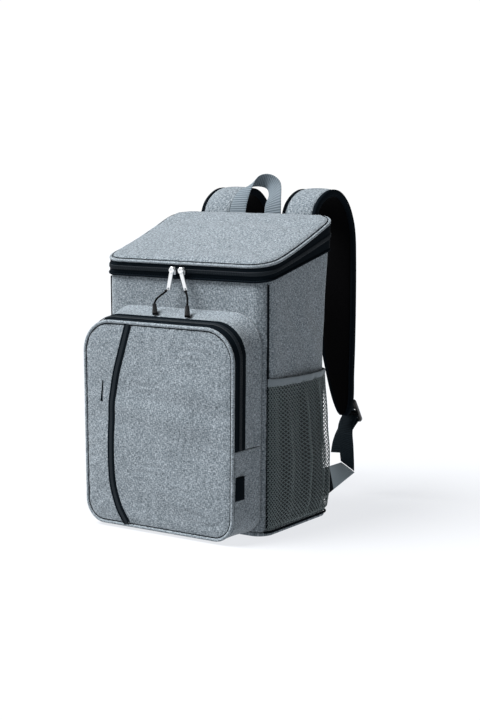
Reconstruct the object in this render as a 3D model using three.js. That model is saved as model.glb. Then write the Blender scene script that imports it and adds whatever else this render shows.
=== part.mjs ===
// Cooler backpack: padded box body, domed zip lid, rounded front pocket, net side pockets,
// carry handle and two shoulder straps. Millimetres, +Z up, front towards -Y,
// origin at the centre of the base's underside.
import * as THREE from 'three';

// Clearance between pieces that are sewn together or lie on each other
const seamGap = 0.3;

// Main compartment
const bodyWidth = 280;
const bodyDepth = 181;
const bodyFrontHeight = 359;
const bodyBackHeight = 398;
const bodyCornerRadius = 22;
const baseShare = 0.977;
const wallThickness = 6;
const sideCrown = 3;
const baseThickness = 7;
const bodyPipingRadius = 2.3;

// Lid and the zip band below it
const lidWidth = 292;
const lidFrontOverhang = 8;
const bandFrontHeight = 17;
const bandBackHeight = 40;
const lidRiseExponent = 1.3;
const lidFrontRadius = 40;
const lidBackRadius = 27;
const lidThickness = 8;
const lidCrown = 7;
const lidPipingRadius = 2.1;
const bandThickness = 2.4;
const bandFootOffset = 2;
const bandHeadInset = 1;
const coilWidth = 6;
const coilThickness = 1.6;
const coilHeightShare = 0.52;

// Front pocket
const pocketWidth = 262;
const pocketDepth = 63;
const pocketBottom = 4;
const pocketTopDrop = 60;
const pocketTopRadius = 48;
const pocketBottomRadius = 33;
const pocketBottomShare = 0.98;
const pocketBackFlare = 3;
const pocketBackRise = 16;
const pocketWall = 3;
const pocketCrown = 5;
const pocketPipingRadius = 2.5;
const pocketRimDepth = 4;
const pocketTapeWidth = 23;
const pocketZipEnd = 132;
const stripeWidth = 12.5;
const trimThickness = 1.2;
const slitLength = 30;
const slitWidth = 2.4;
const labelWidth = 20;
const labelHeight = 33;
const labelBottom = 63;
const labelRimGap = 1;

// Side pockets
const netTop = 213;
const netThickness = 1.2;
const netBulge = 15;
const netSlack = 7;
const netFold = 1.6;
const netFoldCount = 5;
const hemHeight = 11;
const hemDrop = 3;
const hemThickness = 1.8;

// Shoulder straps
const strapWidth = 59;
const strapInnerPlace = 44;
const strapReach = 130;
const strapEndHeight = 126;
const strapArchRise = 39;
const strapPadThickness = 7.4;
const strapLiningThickness = 3;
const strapBindingWidth = 5;

// Webbing, ladder lock and corner tab below each strap
const webbingWidth = 27;
const webbingThickness = 1.5;
const lockWidth = 33;
const lockLength = 44;
const lockThickness = 5;
const lockBar = 4.5;
const lockLean = 0.58;
const lockCornerRadius = 5;
const lockSlotShare = 0.72;
const tabThickness = 1.8;
const tabSeamHeight = 46;
const tabSeatInset = 0.5;
const tabSeatBack = 2.2;

// Carry handle
const handleWidth = 29;
const handleThickness = 1.6;
const handleSpan = 64;
const handleLean = 26;
const handleRise = 105;

// Zip pulls of the lid
const sliderWidth = 8;
const sliderHeight = 11;
const sliderThickness = 4.4;
const pullTabLength = 33;
const pullTabWidth = 6.4;
const pullTabThickness = 1.6;
const pullHoleRadius = 1.5;
const pullLoopDiameter = 2.2;
const pullLoopDrop = 23;
const gripWidth = 6.4;
const gripThickness = 4;

const bodyHalfDepth = bodyDepth / 2;
const lidFrontHeight = bodyFrontHeight + bandFrontHeight;
const lidBackHeight = bodyBackHeight + bandBackHeight;
const pocketHeight = bodyFrontHeight - pocketTopDrop - pocketBottom;
const strapTopHeight = lidBackHeight + strapArchRise;
const bodyFront = -bodyHalfDepth;
const lidFront = bodyFront - lidFrontOverhang;
const pocketFront = bodyFront - pocketDepth;
const strapThickness = strapPadThickness + seamGap + strapLiningThickness;
const quarterTurn = Math.PI / 2;
const lerp = THREE.MathUtils.lerp;

const heather = { color: 0x8f979c, roughness: 0.9, metalness: 0 };
const paleTrim = { color: 0xb4bbc0, roughness: 0.8, metalness: 0 };
const blackTrim = { color: 0x15181b, roughness: 0.7, metalness: 0 };
const darkNet = { color: 0x2c3432, roughness: 0.8, metalness: 0 };
const plainGrey = { color: 0x69747b, roughness: 0.85, metalness: 0 };
const darkWebbing = { color: 0x141b20, roughness: 0.75, metalness: 0 };
const blackPlastic = { color: 0x0c0d0e, roughness: 0.4, metalness: 0 };
const silverMetal = { color: 0xd8dbdc, roughness: 0.3, metalness: 1 };

const backpack = new THREE.Group();
backpack.name = 'cooler_backpack';

function addPiece(name, geometry, look) {
  const piece = new THREE.Mesh(geometry, new THREE.MeshStandardMaterial(look));
  piece.name = name;
  backpack.add(piece);
  return piece;
}

// Six times the volume that the triangles enclose, negative when the faces point inwards
function signedVolume(geometry) {
  const corner = [new THREE.Vector3(), new THREE.Vector3(), new THREE.Vector3()];
  let volume = 0;
  for (let i = 0; i < geometry.index.count; i += 3) {
    corner.forEach((point, k) => {
      point.fromBufferAttribute(geometry.attributes.position, geometry.index.getX(i + k));
    });
    volume += corner[0].dot(corner[1].clone().cross(corner[2]));
  }
  return volume;
}

// A closed geometry with every vertex moved by place(vertex), its faces turned outwards
function bend(geometry, place) {
  const vertices = geometry.attributes.position;
  const vertex = new THREE.Vector3();
  for (let i = 0; i < vertices.count; i += 1) {
    vertex.copy(place(vertex.fromBufferAttribute(vertices, i)));
    vertices.setXYZ(i, vertex.x, vertex.y, vertex.z);
  }
  if (signedVolume(geometry) < 0) {
    const index = geometry.index;
    for (let i = 0; i < index.count; i += 3) {
      const first = index.getX(i);
      index.setX(i, index.getX(i + 1));
      index.setX(i + 1, first);
    }
  }
  geometry.computeVertexNormals();
  return geometry;
}

// A box of unit size whose point (u, v, w) goes to place(u, v, w)
function bentSlab(uSteps, vSteps, place) {
  const slab = new THREE.BoxGeometry(1, 1, 1, uSteps, vSteps, 1);
  return bend(slab, (at) => place(at.x + 0.5, at.y + 0.5, at.z + 0.5));
}

// Turns of one walk round a rounded rectangle, as loopPoint counts them
const lap = 12;

// A ring tube: place(t, out, along) gets the turn t from 0 to lap and the section's two coordinates
function bentRing(turnSteps, sides, radius, place) {
  const ringRadius = 4;
  const ring = new THREE.TorusGeometry(ringRadius, 1, sides, turnSteps);
  return bend(ring, (at) => {
    const t = (Math.atan2(at.y, at.x) / (2 * Math.PI)) * lap;
    return place(t, (Math.hypot(at.x, at.y) - ringRadius) * radius, at.z * radius);
  });
}

// A rod: place(share, out, along) gets the share of the length and the section's two coordinates
function bentRod(steps, sides, radius, place) {
  const rod = new THREE.CylinderGeometry(1, 1, 1, sides, steps);
  return bend(rod, (at) => place(at.y + 0.5, at.x * radius, at.z * radius));
}

// A disc of rings: place(t, reach, layer) gets the turn t, the share of the radius and layer 0 or 1
const discProfile = [
  [0, 0], [0.5, 0], [0.86, 0], [1, 0.2], [1, 0.75], [0.95, 1], [0.7, 1], [0.4, 1], [0, 1],
];

function bentDisc(turnSteps, place) {
  const profile = discProfile.map(([reach, layer]) => new THREE.Vector2(reach, layer));
  const disc = new THREE.LatheGeometry(profile, turnSteps);
  return bend(disc, (at) => {
    const t = (Math.atan2(at.x, at.z) / (2 * Math.PI)) * lap;
    return place(t, Math.hypot(at.x, at.z), at.y);
  });
}

// A tube of round section along a curve
function tube(curve, steps, radius, sides) {
  const section = new THREE.Shape();
  for (let i = 0; i < sides; i += 1) {
    const angle = (i / sides) * 2 * Math.PI;
    const corner = [radius * Math.cos(angle), radius * Math.sin(angle)];
    if (i === 0) {
      section.moveTo(...corner);
    } else {
      section.lineTo(...corner);
    }
  }
  return new THREE.ExtrudeGeometry(section, { steps, extrudePath: curve, bevelEnabled: false });
}

// Point and outward normal of a rounded rectangle, walked from the middle of its low side:
// t 0-1 half the low side, 1-2 corner, 2-3 and 3-4 the side below and above its split,
// 4-5 corner, 5-7 the high side, and 7-12 the same again mirrored.
function loopPoint(loop, t) {
  const turn = ((t % lap) + lap) % lap;
  const mirrored = turn > lap / 2;
  const walked = mirrored ? lap - turn : turn;
  const span = Math.min(Math.floor(walked), 5);
  const share = walked - span;
  const { half, low, high, lowRadius, highRadius, split } = loop;
  let angle = 0;
  let a = half;
  let b = 0;
  if (span === 0) {
    angle = -quarterTurn;
    a = share * (half - lowRadius);
    b = low;
  } else if (span === 1) {
    angle = -quarterTurn * (1 - share);
    a = half - lowRadius * (1 - Math.cos(angle));
    b = low + lowRadius * (1 + Math.sin(angle));
  } else if (span === 2) {
    b = lerp(low + lowRadius, split, share);
  } else if (span === 3) {
    b = lerp(split, high - highRadius, share);
  } else if (span === 4) {
    angle = quarterTurn * share;
    a = half - highRadius * (1 - Math.cos(angle));
    b = high - highRadius * (1 - Math.sin(angle));
  } else {
    angle = quarterTurn;
    a = (1 - share) * (half - highRadius);
    b = high;
  }
  const side = mirrored ? -1 : 1;
  return { a: side * a, b, na: side * Math.cos(angle), nb: Math.sin(angle) };
}

// The same loop drawn in by a distance
function insetLoop(loop, distance) {
  return {
    ...loop,
    half: loop.half - distance,
    low: loop.low + distance,
    high: loop.high - distance,
    lowRadius: loop.lowRadius - distance,
    highRadius: loop.highRadius - distance,
  };
}

// Body walls

const bodyLoop = {
  half: bodyWidth / 2,
  low: bodyFront,
  high: bodyHalfDepth,
  lowRadius: bodyCornerRadius,
  highRadius: bodyCornerRadius,
  split: 0,
};
const frontCorner = 1.5;
const backCorner = 4.5;

// Height of the front and side walls' sloping top edge at depth y
function wallTop(y) {
  return lerp(bodyFrontHeight, bodyBackHeight, (y - bodyFront) / bodyDepth);
}

// Height of the lid's lower rim at depth y
function rimHeight(y) {
  const share = THREE.MathUtils.clamp((y - lidFront) / (bodyHalfDepth - lidFront), 0, 1);
  return lerp(lidFrontHeight, lidBackHeight, share ** lidRiseExponent);
}

// A point of the walls' outer face, or a distance outside it; the body narrows to its base
// and the two sides swell a little
function wallPoint(t, height, offset) {
  const edge = loopPoint(bodyLoop, t);
  const walked = Math.abs(((t + lap / 2) % lap) - lap / 2);
  const across = (walked - frontCorner) / (backCorner - frontCorner);
  const up = height / wallTop(edge.b);
  const onSide = across > 0 && across < 1 && up > 0 && up < 1;
  const swell = onSide ? sideCrown * Math.sin(Math.PI * across) * Math.sin(Math.PI * up) : 0;
  const narrow = lerp(baseShare, 1, Math.min(up, 1));
  const out = offset + swell;
  return new THREE.Vector3(edge.a * narrow + edge.na * out, edge.b * narrow + edge.nb * out, height);
}

function wallPanel(fromTurn, toTurn, steps, topAt) {
  const innerCorner = quarterTurn * (bodyCornerRadius - wallThickness);
  const trim = (0.75 * seamGap) / innerCorner;
  return bentSlab(steps, 3, (u, v, w) => {
    const t = lerp(fromTurn + trim, toTurn - trim, u);
    const inset = (w - 1) * wallThickness;
    const edge = loopPoint(bodyLoop, t);
    const top = topAt(edge.b + edge.nb * inset) - seamGap;
    return wallPoint(t, lerp(baseThickness + seamGap, top, v), inset);
  });
}

function buildWalls() {
  addPiece('front_panel', wallPanel(-frontCorner, frontCorner, 12, wallTop), heather);
  addPiece('side_panel_right', wallPanel(frontCorner, backCorner, 12, wallTop), heather);
  addPiece('side_panel_left', wallPanel(lap - backCorner, lap - frontCorner, 12, wallTop), heather);
  addPiece('back_panel', wallPanel(backCorner, lap - backCorner, 12, rimHeight), heather);
}

function buildBase() {
  const outline = new THREE.Shape();
  for (let i = 0; i < 48; i += 1) {
    const edge = loopPoint(bodyLoop, i / 4);
    const corner = [edge.a * baseShare, edge.b * baseShare];
    if (i === 0) {
      outline.moveTo(...corner);
    } else {
      outline.lineTo(...corner);
    }
  }
  const plate = new THREE.ExtrudeGeometry(outline, { depth: baseThickness, bevelEnabled: false });
  addPiece('base_panel', plate, heather);
}

// Piping on the walls' outer face along a line of turns, at the height that heightAt(turn) gives
function wallPiping(fromTurn, toTurn, steps, heightAt) {
  const stand = bodyPipingRadius + 2 * seamGap;
  return bentRod(steps, 6, bodyPipingRadius, (share, out, along) => {
    const t = lerp(fromTurn, toTurn, share);
    return wallPoint(t, heightAt(t) + along, stand + out);
  });
}

function buildBodyPiping() {
  const foot = baseThickness + 2 * bodyPipingRadius;
  const top = wallTop(bodyFront) - 2 * bodyPipingRadius - seamGap;
  for (const [name, turn] of [['right', frontCorner], ['left', lap - frontCorner]]) {
    const corner = wallPoint(turn, 0, 0);
    const outwards = new THREE.Vector3(Math.sign(corner.x), -1, 0).normalize();
    const sideways = new THREE.Vector3(-outwards.y, outwards.x, 0);
    const stand = bodyPipingRadius + seamGap;
    const piping = bentRod(4, 8, bodyPipingRadius, (share, out, along) => {
      return wallPoint(turn, lerp(foot, top, share), stand + out).addScaledVector(sideways, along);
    });
    addPiece(`corner_piping_${name}`, piping, blackTrim);
  }
  const ring = wallPiping(frontCorner, lap - frontCorner, 36, () => baseThickness);
  addPiece('base_piping', ring, blackTrim);
}

// Lid

const lidLoop = {
  half: lidWidth / 2,
  low: lidFront,
  high: bodyHalfDepth,
  lowRadius: lidFrontRadius,
  highRadius: lidBackRadius,
  split: 0,
};
const lidMiddle = (lidFront + bodyHalfDepth) / 2;

function lidDome(x, y) {
  const across = x / (lidWidth / 2);
  const along = (y - lidMiddle) / ((bodyHalfDepth - lidFront) / 2);
  return lidCrown * Math.max(0, 1 - across ** 2) * Math.max(0, 1 - along ** 2);
}

function buildLid() {
  const cloth = insetLoop(lidLoop, 2 * lidPipingRadius + seamGap);
  const lid = bentDisc(48, (t, reach, layer) => {
    const edge = loopPoint(cloth, t);
    const x = edge.a * reach;
    const y = lerp(lidMiddle, edge.b, reach);
    return new THREE.Vector3(x, y, rimHeight(y) + lidDome(x, y) + layer * lidThickness);
  });
  addPiece('lid_panel', lid, heather);
  const centre = insetLoop(lidLoop, lidPipingRadius);
  const piping = bentRing(48, 6, lidPipingRadius, (t, out, along) => {
    const edge = loopPoint(centre, t);
    const x = edge.a + edge.na * out;
    const y = edge.b + edge.nb * out;
    return new THREE.Vector3(x, y, rimHeight(edge.b) + lidPipingRadius + along);
  });
  addPiece('lid_piping', piping, paleTrim);
}

// A point of the zip band's outer face: rise 0 at the walls' top edge, 1 at the lid's rim
function bandPoint(t, rise, offset) {
  const foot = loopPoint(bodyLoop, t);
  const head = loopPoint(insetLoop(lidLoop, bandHeadInset), t);
  const x = lerp(foot.a + foot.na * bandFootOffset, head.a, rise);
  const y = lerp(foot.b + foot.nb * bandFootOffset, head.b, rise);
  const z = lerp(wallTop(foot.b) + seamGap, rimHeight(head.b) - seamGap, rise);
  return new THREE.Vector3(x + foot.na * offset, y + foot.nb * offset, z);
}

function bandHeight(t) {
  return bandPoint(t, 1, 0).z - bandPoint(t, 0, 0).z;
}

function buildBand() {
  const reach = backCorner - 0.03;
  const band = bentSlab(36, 2, (u, v, w) => {
    return bandPoint(lerp(-reach, reach, u), v, (w - 1) * bandThickness);
  });
  addPiece('lid_zip_band', band, blackTrim);
  const coil = bentSlab(36, 1, (u, v, w) => {
    const t = lerp(-reach, reach, u);
    const rise = coilHeightShare + ((v - 0.5) * coilWidth) / bandHeight(t);
    return bandPoint(t, rise, seamGap + w * coilThickness);
  });
  addPiece('lid_zip_coil', coil, blackPlastic);
  const footHeight = (t) => wallTop(loopPoint(bodyLoop, t).b) - bodyPipingRadius - seamGap;
  addPiece('lid_band_piping', wallPiping(-reach, reach, 36, footHeight), blackTrim);
}

// Front pocket

const pocketTop = pocketBottom + pocketHeight;
const pocketFrontLoop = {
  half: pocketWidth / 2,
  low: pocketBottom,
  high: pocketTop,
  lowRadius: pocketBottomRadius,
  highRadius: pocketTopRadius,
  split: pocketZipEnd,
};
const pocketBackLoop = {
  ...pocketFrontLoop,
  half: pocketWidth / 2 + pocketBackFlare,
  high: pocketTop + pocketBackRise,
};
const pocketTapeFront = pocketFront + pocketRimDepth;

// The pocket narrows a little towards its bottom
function pocketNarrow(height) {
  return lerp(pocketBottomShare, 1, (height - pocketBottom) / pocketHeight);
}

// A point of the gusset's outer face, between the front rim and the body's front wall
function gussetPoint(t, y, offset) {
  const share = (y - pocketTapeFront) / (bodyFront - pocketTapeFront);
  const front = loopPoint(pocketFrontLoop, t);
  const back = loopPoint(pocketBackLoop, t);
  const z = lerp(front.b, back.b, share) + front.nb * offset;
  const x = lerp(front.a, back.a, share) * pocketNarrow(z) + front.na * offset;
  return new THREE.Vector3(x, y, z);
}

// Depth of the pocket panel's outer face, which bulges forward in its middle
function pocketFace(x, z) {
  const across = x / (pocketWidth / 2);
  const up = (2 * (z - pocketBottom)) / pocketHeight - 1;
  return pocketFront - pocketCrown * Math.max(0, 1 - across ** 2) * Math.max(0, 1 - up ** 2);
}

function gusset(fromTurn, toTurn, steps, fromDepth, toDepth) {
  return bentSlab(steps, 2, (u, v, w) => {
    return gussetPoint(lerp(fromTurn, toTurn, u), lerp(fromDepth, toDepth, v), (w - 1) * pocketWall);
  });
}

function buildPocket() {
  const cloth = insetLoop(pocketFrontLoop, 2 * pocketPipingRadius + seamGap);
  const middle = pocketBottom + pocketHeight / 2;
  const panel = bentDisc(48, (t, reach, layer) => {
    const edge = loopPoint(cloth, t);
    const z = lerp(middle, edge.b, reach);
    const x = edge.a * reach * pocketNarrow(z);
    return new THREE.Vector3(x, pocketFace(x, z) + (1 - layer) * pocketWall, z);
  });
  addPiece('pocket_panel', panel, heather);

  const centre = insetLoop(pocketFrontLoop, pocketPipingRadius);
  const piping = bentRing(48, 6, pocketPipingRadius, (t, out, along) => {
    const edge = loopPoint(centre, t);
    const z = edge.b + edge.nb * out;
    const x = edge.a * pocketNarrow(edge.b) + edge.na * out;
    return new THREE.Vector3(x, pocketTapeFront - seamGap - 0.87 * pocketPipingRadius + along, z);
  });
  addPiece('pocket_piping', piping, paleTrim);

  const tapeStart = pocketTapeFront;
  const tapeEnd = tapeStart + pocketTapeWidth;
  const wallSeat = bodyFront - seamGap;
  addPiece('pocket_zip_tape', gusset(3, 9, 24, tapeStart, tapeEnd), blackTrim);
  addPiece('pocket_gusset_upper', gusset(3, 9, 24, tapeEnd + seamGap, wallSeat), heather);
  addPiece('pocket_gusset_lower', gusset(-2.99, 2.99, 24, tapeStart, wallSeat), heather);

  const coilMiddle = tapeStart + pocketTapeWidth / 2;
  const coil = bentSlab(24, 1, (u, v, w) => {
    const y = coilMiddle + (v - 0.5) * coilWidth;
    return gussetPoint(lerp(3, 9, u), y, seamGap + w * coilThickness);
  });
  addPiece('pocket_zip_coil', coil, blackPlastic);
}

// Zip stripe on the pocket panel: its middle line, across as a share of half the pocket's
// width and up as a share of its height
const stripeRows = [
  { across: -0.385, up: 0.972 },
  { across: -0.473, up: 0.83 },
  { across: -0.553, up: 0.698 },
  { across: -0.588, up: 0.586 },
  { across: -0.598, up: 0.42 },
  { across: -0.601, up: 0.298 },
  { across: -0.584, up: 0.193 },
  { across: -0.519, up: 0.098 },
  { across: -0.42, up: 0.028 },
];

function panelPlace(row) {
  return new THREE.Vector3((row.across * pocketWidth) / 2, 0, pocketBottom + row.up * pocketHeight);
}

// A flat trim on the pocket panel along a line, as wide as widthAt says
function panelTrim(line, steps, widthAt) {
  return bentSlab(steps, 1, (u, v, w) => {
    const middle = line.getPoint(u);
    const along = line.getTangent(u);
    const side = (v - 0.5) * widthAt(u);
    const x = middle.x + along.z * side;
    const z = middle.z - along.x * side;
    return new THREE.Vector3(x, pocketFace(x, z) - seamGap - w * trimThickness, z);
  });
}

function buildPocketTrim() {
  const stripe = new THREE.CatmullRomCurve3(stripeRows.map(panelPlace));
  addPiece('pocket_zip_stripe', panelTrim(stripe, 28, () => stripeWidth), blackTrim);

  const slitTop = panelPlace({ across: -0.718, up: 0.705 });
  const slitFoot = slitTop.clone().add(new THREE.Vector3(-0.07 * slitLength, 0, -slitLength));
  const slit = new THREE.LineCurve3(slitTop, slitFoot);
  addPiece('lead_slit', panelTrim(slit, 6, (u) => slitWidth * (1 + u ** 4)), blackTrim);

  const label = bentSlab(2, 3, (u, v, w) => {
    const height = labelBottom + v * labelHeight;
    const y = pocketTapeFront + labelRimGap + u * labelWidth;
    const wall = gussetPoint(2, y, 0);
    const x = (wall.x / pocketNarrow(wall.z)) * pocketNarrow(height);
    return new THREE.Vector3(x + seamGap + w * trimThickness, y, height);
  });
  addPiece('side_label', label, blackTrim);
}

// Side pockets: how far the net stands off the wall, as a share of its bulge, by height
const netRows = [
  { up: 0, stand: 0.04 },
  { up: 0.05, stand: 0.72 },
  { up: 0.16, stand: 1 },
  { up: 0.38, stand: 0.88 },
  { up: 0.66, stand: 0.42 },
  { up: 1, stand: 0.02 },
];

function netStand(up) {
  const next = Math.max(1, netRows.findIndex((row) => row.up >= up));
  const low = netRows[next - 1];
  const high = netRows[next];
  const share = THREE.MathUtils.smoothstep(up, low.up, high.up);
  return lerp(low.stand, high.stand, share);
}

function buildSidePocket(name, side) {
  const netStart = frontCorner + (2 * bodyPipingRadius) / (quarterTurn * bodyCornerRadius);
  const netEnd = backCorner - 0.02;
  const netBottom = baseThickness + bodyPipingRadius + seamGap;
  const turnAt = (u) => (side > 0 ? lerp(netStart, netEnd, u) : lap - lerp(netStart, netEnd, u));
  const slackAt = (u) => seamGap + netSlack * Math.sin(Math.PI * u);

  const net = bentSlab(20, 8, (u, v, w) => {
    const up = v ** 1.4;
    const hang = Math.sin(Math.PI * u ** 1.3) ** 0.7;
    const fold = netFold * Math.sin(2 * Math.PI * netFoldCount * u) * Math.sin(Math.PI * up);
    const stand = netBulge * netStand(up) * hang + slackAt(u) * Math.min(1, up * 2) + fold * hang;
    const out = Math.max(seamGap, stand) + w * netThickness;
    return wallPoint(turnAt(u), lerp(netBottom, netTop - seamGap, up), out);
  });
  addPiece(`mesh_pocket_${name}`, net, darkNet);

  const hem = bentSlab(20, 1, (u, v, w) => {
    const height = netTop + v * (hemHeight - hemDrop * u);
    return wallPoint(turnAt(u), height, slackAt(u) + w * hemThickness);
  });
  addPiece(`mesh_hem_${name}`, hem, plainGrey);
}

// Two edge curves of a flat strip, one point of each per row
function stripEdges(rows, placeA, placeB) {
  return {
    a: new THREE.CatmullRomCurve3(rows.map(placeA)),
    b: new THREE.CatmullRomCurve3(rows.map(placeB)),
  };
}

// A strip between two edge curves: span(width) gives the stretch across it that the piece takes,
// low and high are its faces' distances along the strip's normal, and start and end the shares
// of its length
function strip(edges, steps, span, low, high, start = 0, end = 1) {
  return bentSlab(steps, 1, (u, v, w) => {
    const share = lerp(start, end, u);
    const a = edges.a.getPoint(share);
    const b = edges.b.getPoint(share);
    const across = b.clone().sub(a);
    const width = across.length();
    across.normalize();
    const along = edges.a.getTangent(share).add(edges.b.getTangent(share)).normalize();
    const normal = along.cross(across).normalize();
    const [from, to] = span(width);
    return a.addScaledVector(across, lerp(from, to, v)).addScaledVector(normal, lerp(low, high, w));
  });
}

// Shoulder straps: outer face from its root on the back panel over the arch to its hanging end;
// depth as a share of the reach, height of the rise, edges of the width
const strapRows = [
  { depth: 0, height: 0.764, inner: 0, outer: 1 },
  { depth: 0, height: 0.838, inner: 0, outer: 1 },
  { depth: 0.021, height: 0.889, inner: 0, outer: 1 },
  { depth: 0.09, height: 0.94, inner: 0, outer: 1 },
  { depth: 0.243, height: 0.982, inner: 0, outer: 1 },
  { depth: 0.418, height: 1, inner: 0, outer: 1 },
  { depth: 0.617, height: 0.991, inner: 0, outer: 1 },
  { depth: 0.808, height: 0.94, inner: 0, outer: 1 },
  { depth: 0.93, height: 0.863, inner: 0, outer: 1 },
  { depth: 0.976, height: 0.798, inner: 0, outer: 1 },
  { depth: 0.994, height: 0.695, inner: 0, outer: 1 },
  { depth: 1, height: 0.496, inner: 0, outer: 1 },
  { depth: 0.99, height: 0.302, inner: 0.02, outer: 1 },
  { depth: 0.975, height: 0.182, inner: 0.19, outer: 1 },
  { depth: 0.965, height: 0.068, inner: 0.4, outer: 1 },
  { depth: 0.958, height: 0.014, inner: 0.56, outer: 0.93 },
  { depth: 0.956, height: 0, inner: 0.64, outer: 0.86 },
];
const strapRoot = bodyHalfDepth + handleThickness + 3 * seamGap;
const strapRise = strapTopHeight - strapEndHeight;
const endLoopStart = 0.81;
const endLoopEnd = 0.895;

function buildStrap(name, side) {
  const place = (row, share) => {
    const x = side * (strapInnerPlace + share * strapWidth);
    return new THREE.Vector3(x, strapRoot + row.depth * strapReach, strapEndHeight + row.height * strapRise);
  };
  const edges = stripEdges(strapRows, (row) => place(row, row.inner), (row) => place(row, row.outer));
  const inwards = (depth) => side * depth;
  const edge = strapBindingWidth + seamGap;
  const middle = (width) => [edge, width - edge];
  const liningStart = strapPadThickness + seamGap;
  addPiece(`strap_pad_${name}`, strip(edges, 30, middle, 0, inwards(strapPadThickness)), heather);
  const lining = strip(edges, 30, middle, inwards(liningStart), inwards(strapThickness));
  addPiece(`strap_lining_${name}`, lining, blackTrim);
  const inner = strip(edges, 30, () => [0, strapBindingWidth], 0, inwards(strapThickness));
  addPiece(`strap_binding_inner_${name}`, inner, blackTrim);
  const outerSpan = (width) => [width - strapBindingWidth, width];
  const outer = strip(edges, 30, outerSpan, 0, inwards(strapThickness));
  addPiece(`strap_binding_outer_${name}`, outer, blackTrim);

  const loopSpan = (width) => [width - strapBindingWidth - webbingWidth, width - strapBindingWidth];
  const loopFace = inwards(-seamGap);
  const loopBack = inwards(-seamGap - webbingThickness);
  const loop = strip(edges, 8, loopSpan, loopFace, loopBack, endLoopStart, endLoopEnd);
  addPiece(`strap_end_loop_${name}`, loop, darkWebbing);
}

// Ladder lock: a plate with a slot for the strap's loop and two for the webbing
const lockPlace = 0.7;
const strapEndDepth = 0.967;

function lockCentre(side) {
  const x = side * (strapInnerPlace + lockPlace * strapWidth);
  const loopFace = strapRoot + strapEndDepth * strapReach + seamGap + webbingThickness;
  const y = loopFace + seamGap + 0.5 * lockLength * Math.sin(lockLean);
  return new THREE.Vector3(x, y, strapEndHeight + 0.08 * lockLength);
}

// A point of the plate's front face, down from its centre along it and forward of it
function lockPoint(side, across, down, forward) {
  const centre = lockCentre(side);
  const y = centre.y + down * Math.sin(lockLean) - forward * Math.cos(lockLean);
  const z = centre.z - down * Math.cos(lockLean) - forward * Math.sin(lockLean);
  return new THREE.Vector3(centre.x + side * across, y, z);
}

function rectangle(path, left, low, right, high) {
  path.moveTo(left, low);
  path.lineTo(right, low);
  path.lineTo(right, high);
  path.lineTo(left, high);
  path.closePath();
  return path;
}

function buildLock(name, side) {
  const halfWidth = lockWidth / 2;
  const halfLength = lockLength / 2;
  const corner = lockCornerRadius;
  const plate = new THREE.Shape();
  plate.moveTo(-halfWidth + corner, -halfLength);
  plate.lineTo(halfWidth - corner, -halfLength);
  plate.quadraticCurveTo(halfWidth, -halfLength, halfWidth, -halfLength + corner);
  plate.lineTo(halfWidth, halfLength - corner);
  plate.quadraticCurveTo(halfWidth, halfLength, halfWidth - corner, halfLength);
  plate.lineTo(-halfWidth + corner, halfLength);
  plate.quadraticCurveTo(-halfWidth, halfLength, -halfWidth, halfLength - corner);
  plate.lineTo(-halfWidth, -halfLength + corner);
  plate.quadraticCurveTo(-halfWidth, -halfLength, -halfWidth + corner, -halfLength);
  const slotHeight = (lockLength - 4 * lockBar) / 3;
  const slotHalf = lockSlotShare * halfWidth;
  for (let i = 0; i < 3; i += 1) {
    const low = -halfLength + lockBar + i * (slotHeight + lockBar);
    plate.holes.push(rectangle(new THREE.Path(), -slotHalf, low, slotHalf, low + slotHeight));
  }
  const depth = lockThickness;
  const body = new THREE.ExtrudeGeometry(plate, { depth, bevelEnabled: false, curveSegments: 4 });
  body.translate(0, 0, -depth);
  const lock = addPiece(`ladder_lock_${name}`, body, blackPlastic);
  lock.rotation.x = quarterTurn + lockLean;
  lock.position.copy(lockPoint(side, 0, 0, 0));
}

// Flat webbing whose rows give its middle and the direction across it
function webbingEdges(rows, width, place) {
  const edgeAt = (row, share) => {
    const across = new THREE.Vector3(row.ax, row.ay, row.az).normalize();
    return place(row).addScaledVector(across, share * width);
  };
  return stripEdges(rows, (row) => edgeAt(row, -0.5), (row) => edgeAt(row, 0.5));
}

const wholeWidth = (width) => [0, width];

// Webbing from the lock to the tab: across as a share of the way out from the lock to the
// body's corner, depth of the way forward to the body, height of the lock's height
const webbingRows = [
  { out: 0, back: 1, up: 1, ax: 1, ay: 0, az: 0 },
  { out: 0.02, back: 0.93, up: 0.93, ax: 1, ay: 0, az: 0 },
  { out: 0.1, back: 0.86, up: 0.83, ax: 1, ay: 0, az: -0.05 },
  { out: 0.25, back: 0.81, up: 0.68, ax: 1, ay: 0, az: -0.2 },
  { out: 0.4, back: 0.76, up: 0.5, ax: 1, ay: 0.06, az: -0.45 },
  { out: 0.46, back: 0.74, up: 0.41, ax: 1, ay: 0.1, az: -0.6 },
];
const tailRows = [
  { out: 0, back: 1, up: 1, ax: 1, ay: 0, az: 0 },
  { out: -0.06, back: 0.95, up: 0.93, ax: 1, ay: 0, az: 0 },
  { out: -0.14, back: 0.905, up: 0.83, ax: 1, ay: 0, az: 0 },
  { out: -0.2, back: 0.87, up: 0.7, ax: 1, ay: 0.05, az: 0.05 },
  { out: -0.22, back: 0.85, up: 0.56, ax: 1, ay: 0.08, az: 0.05 },
];

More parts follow.
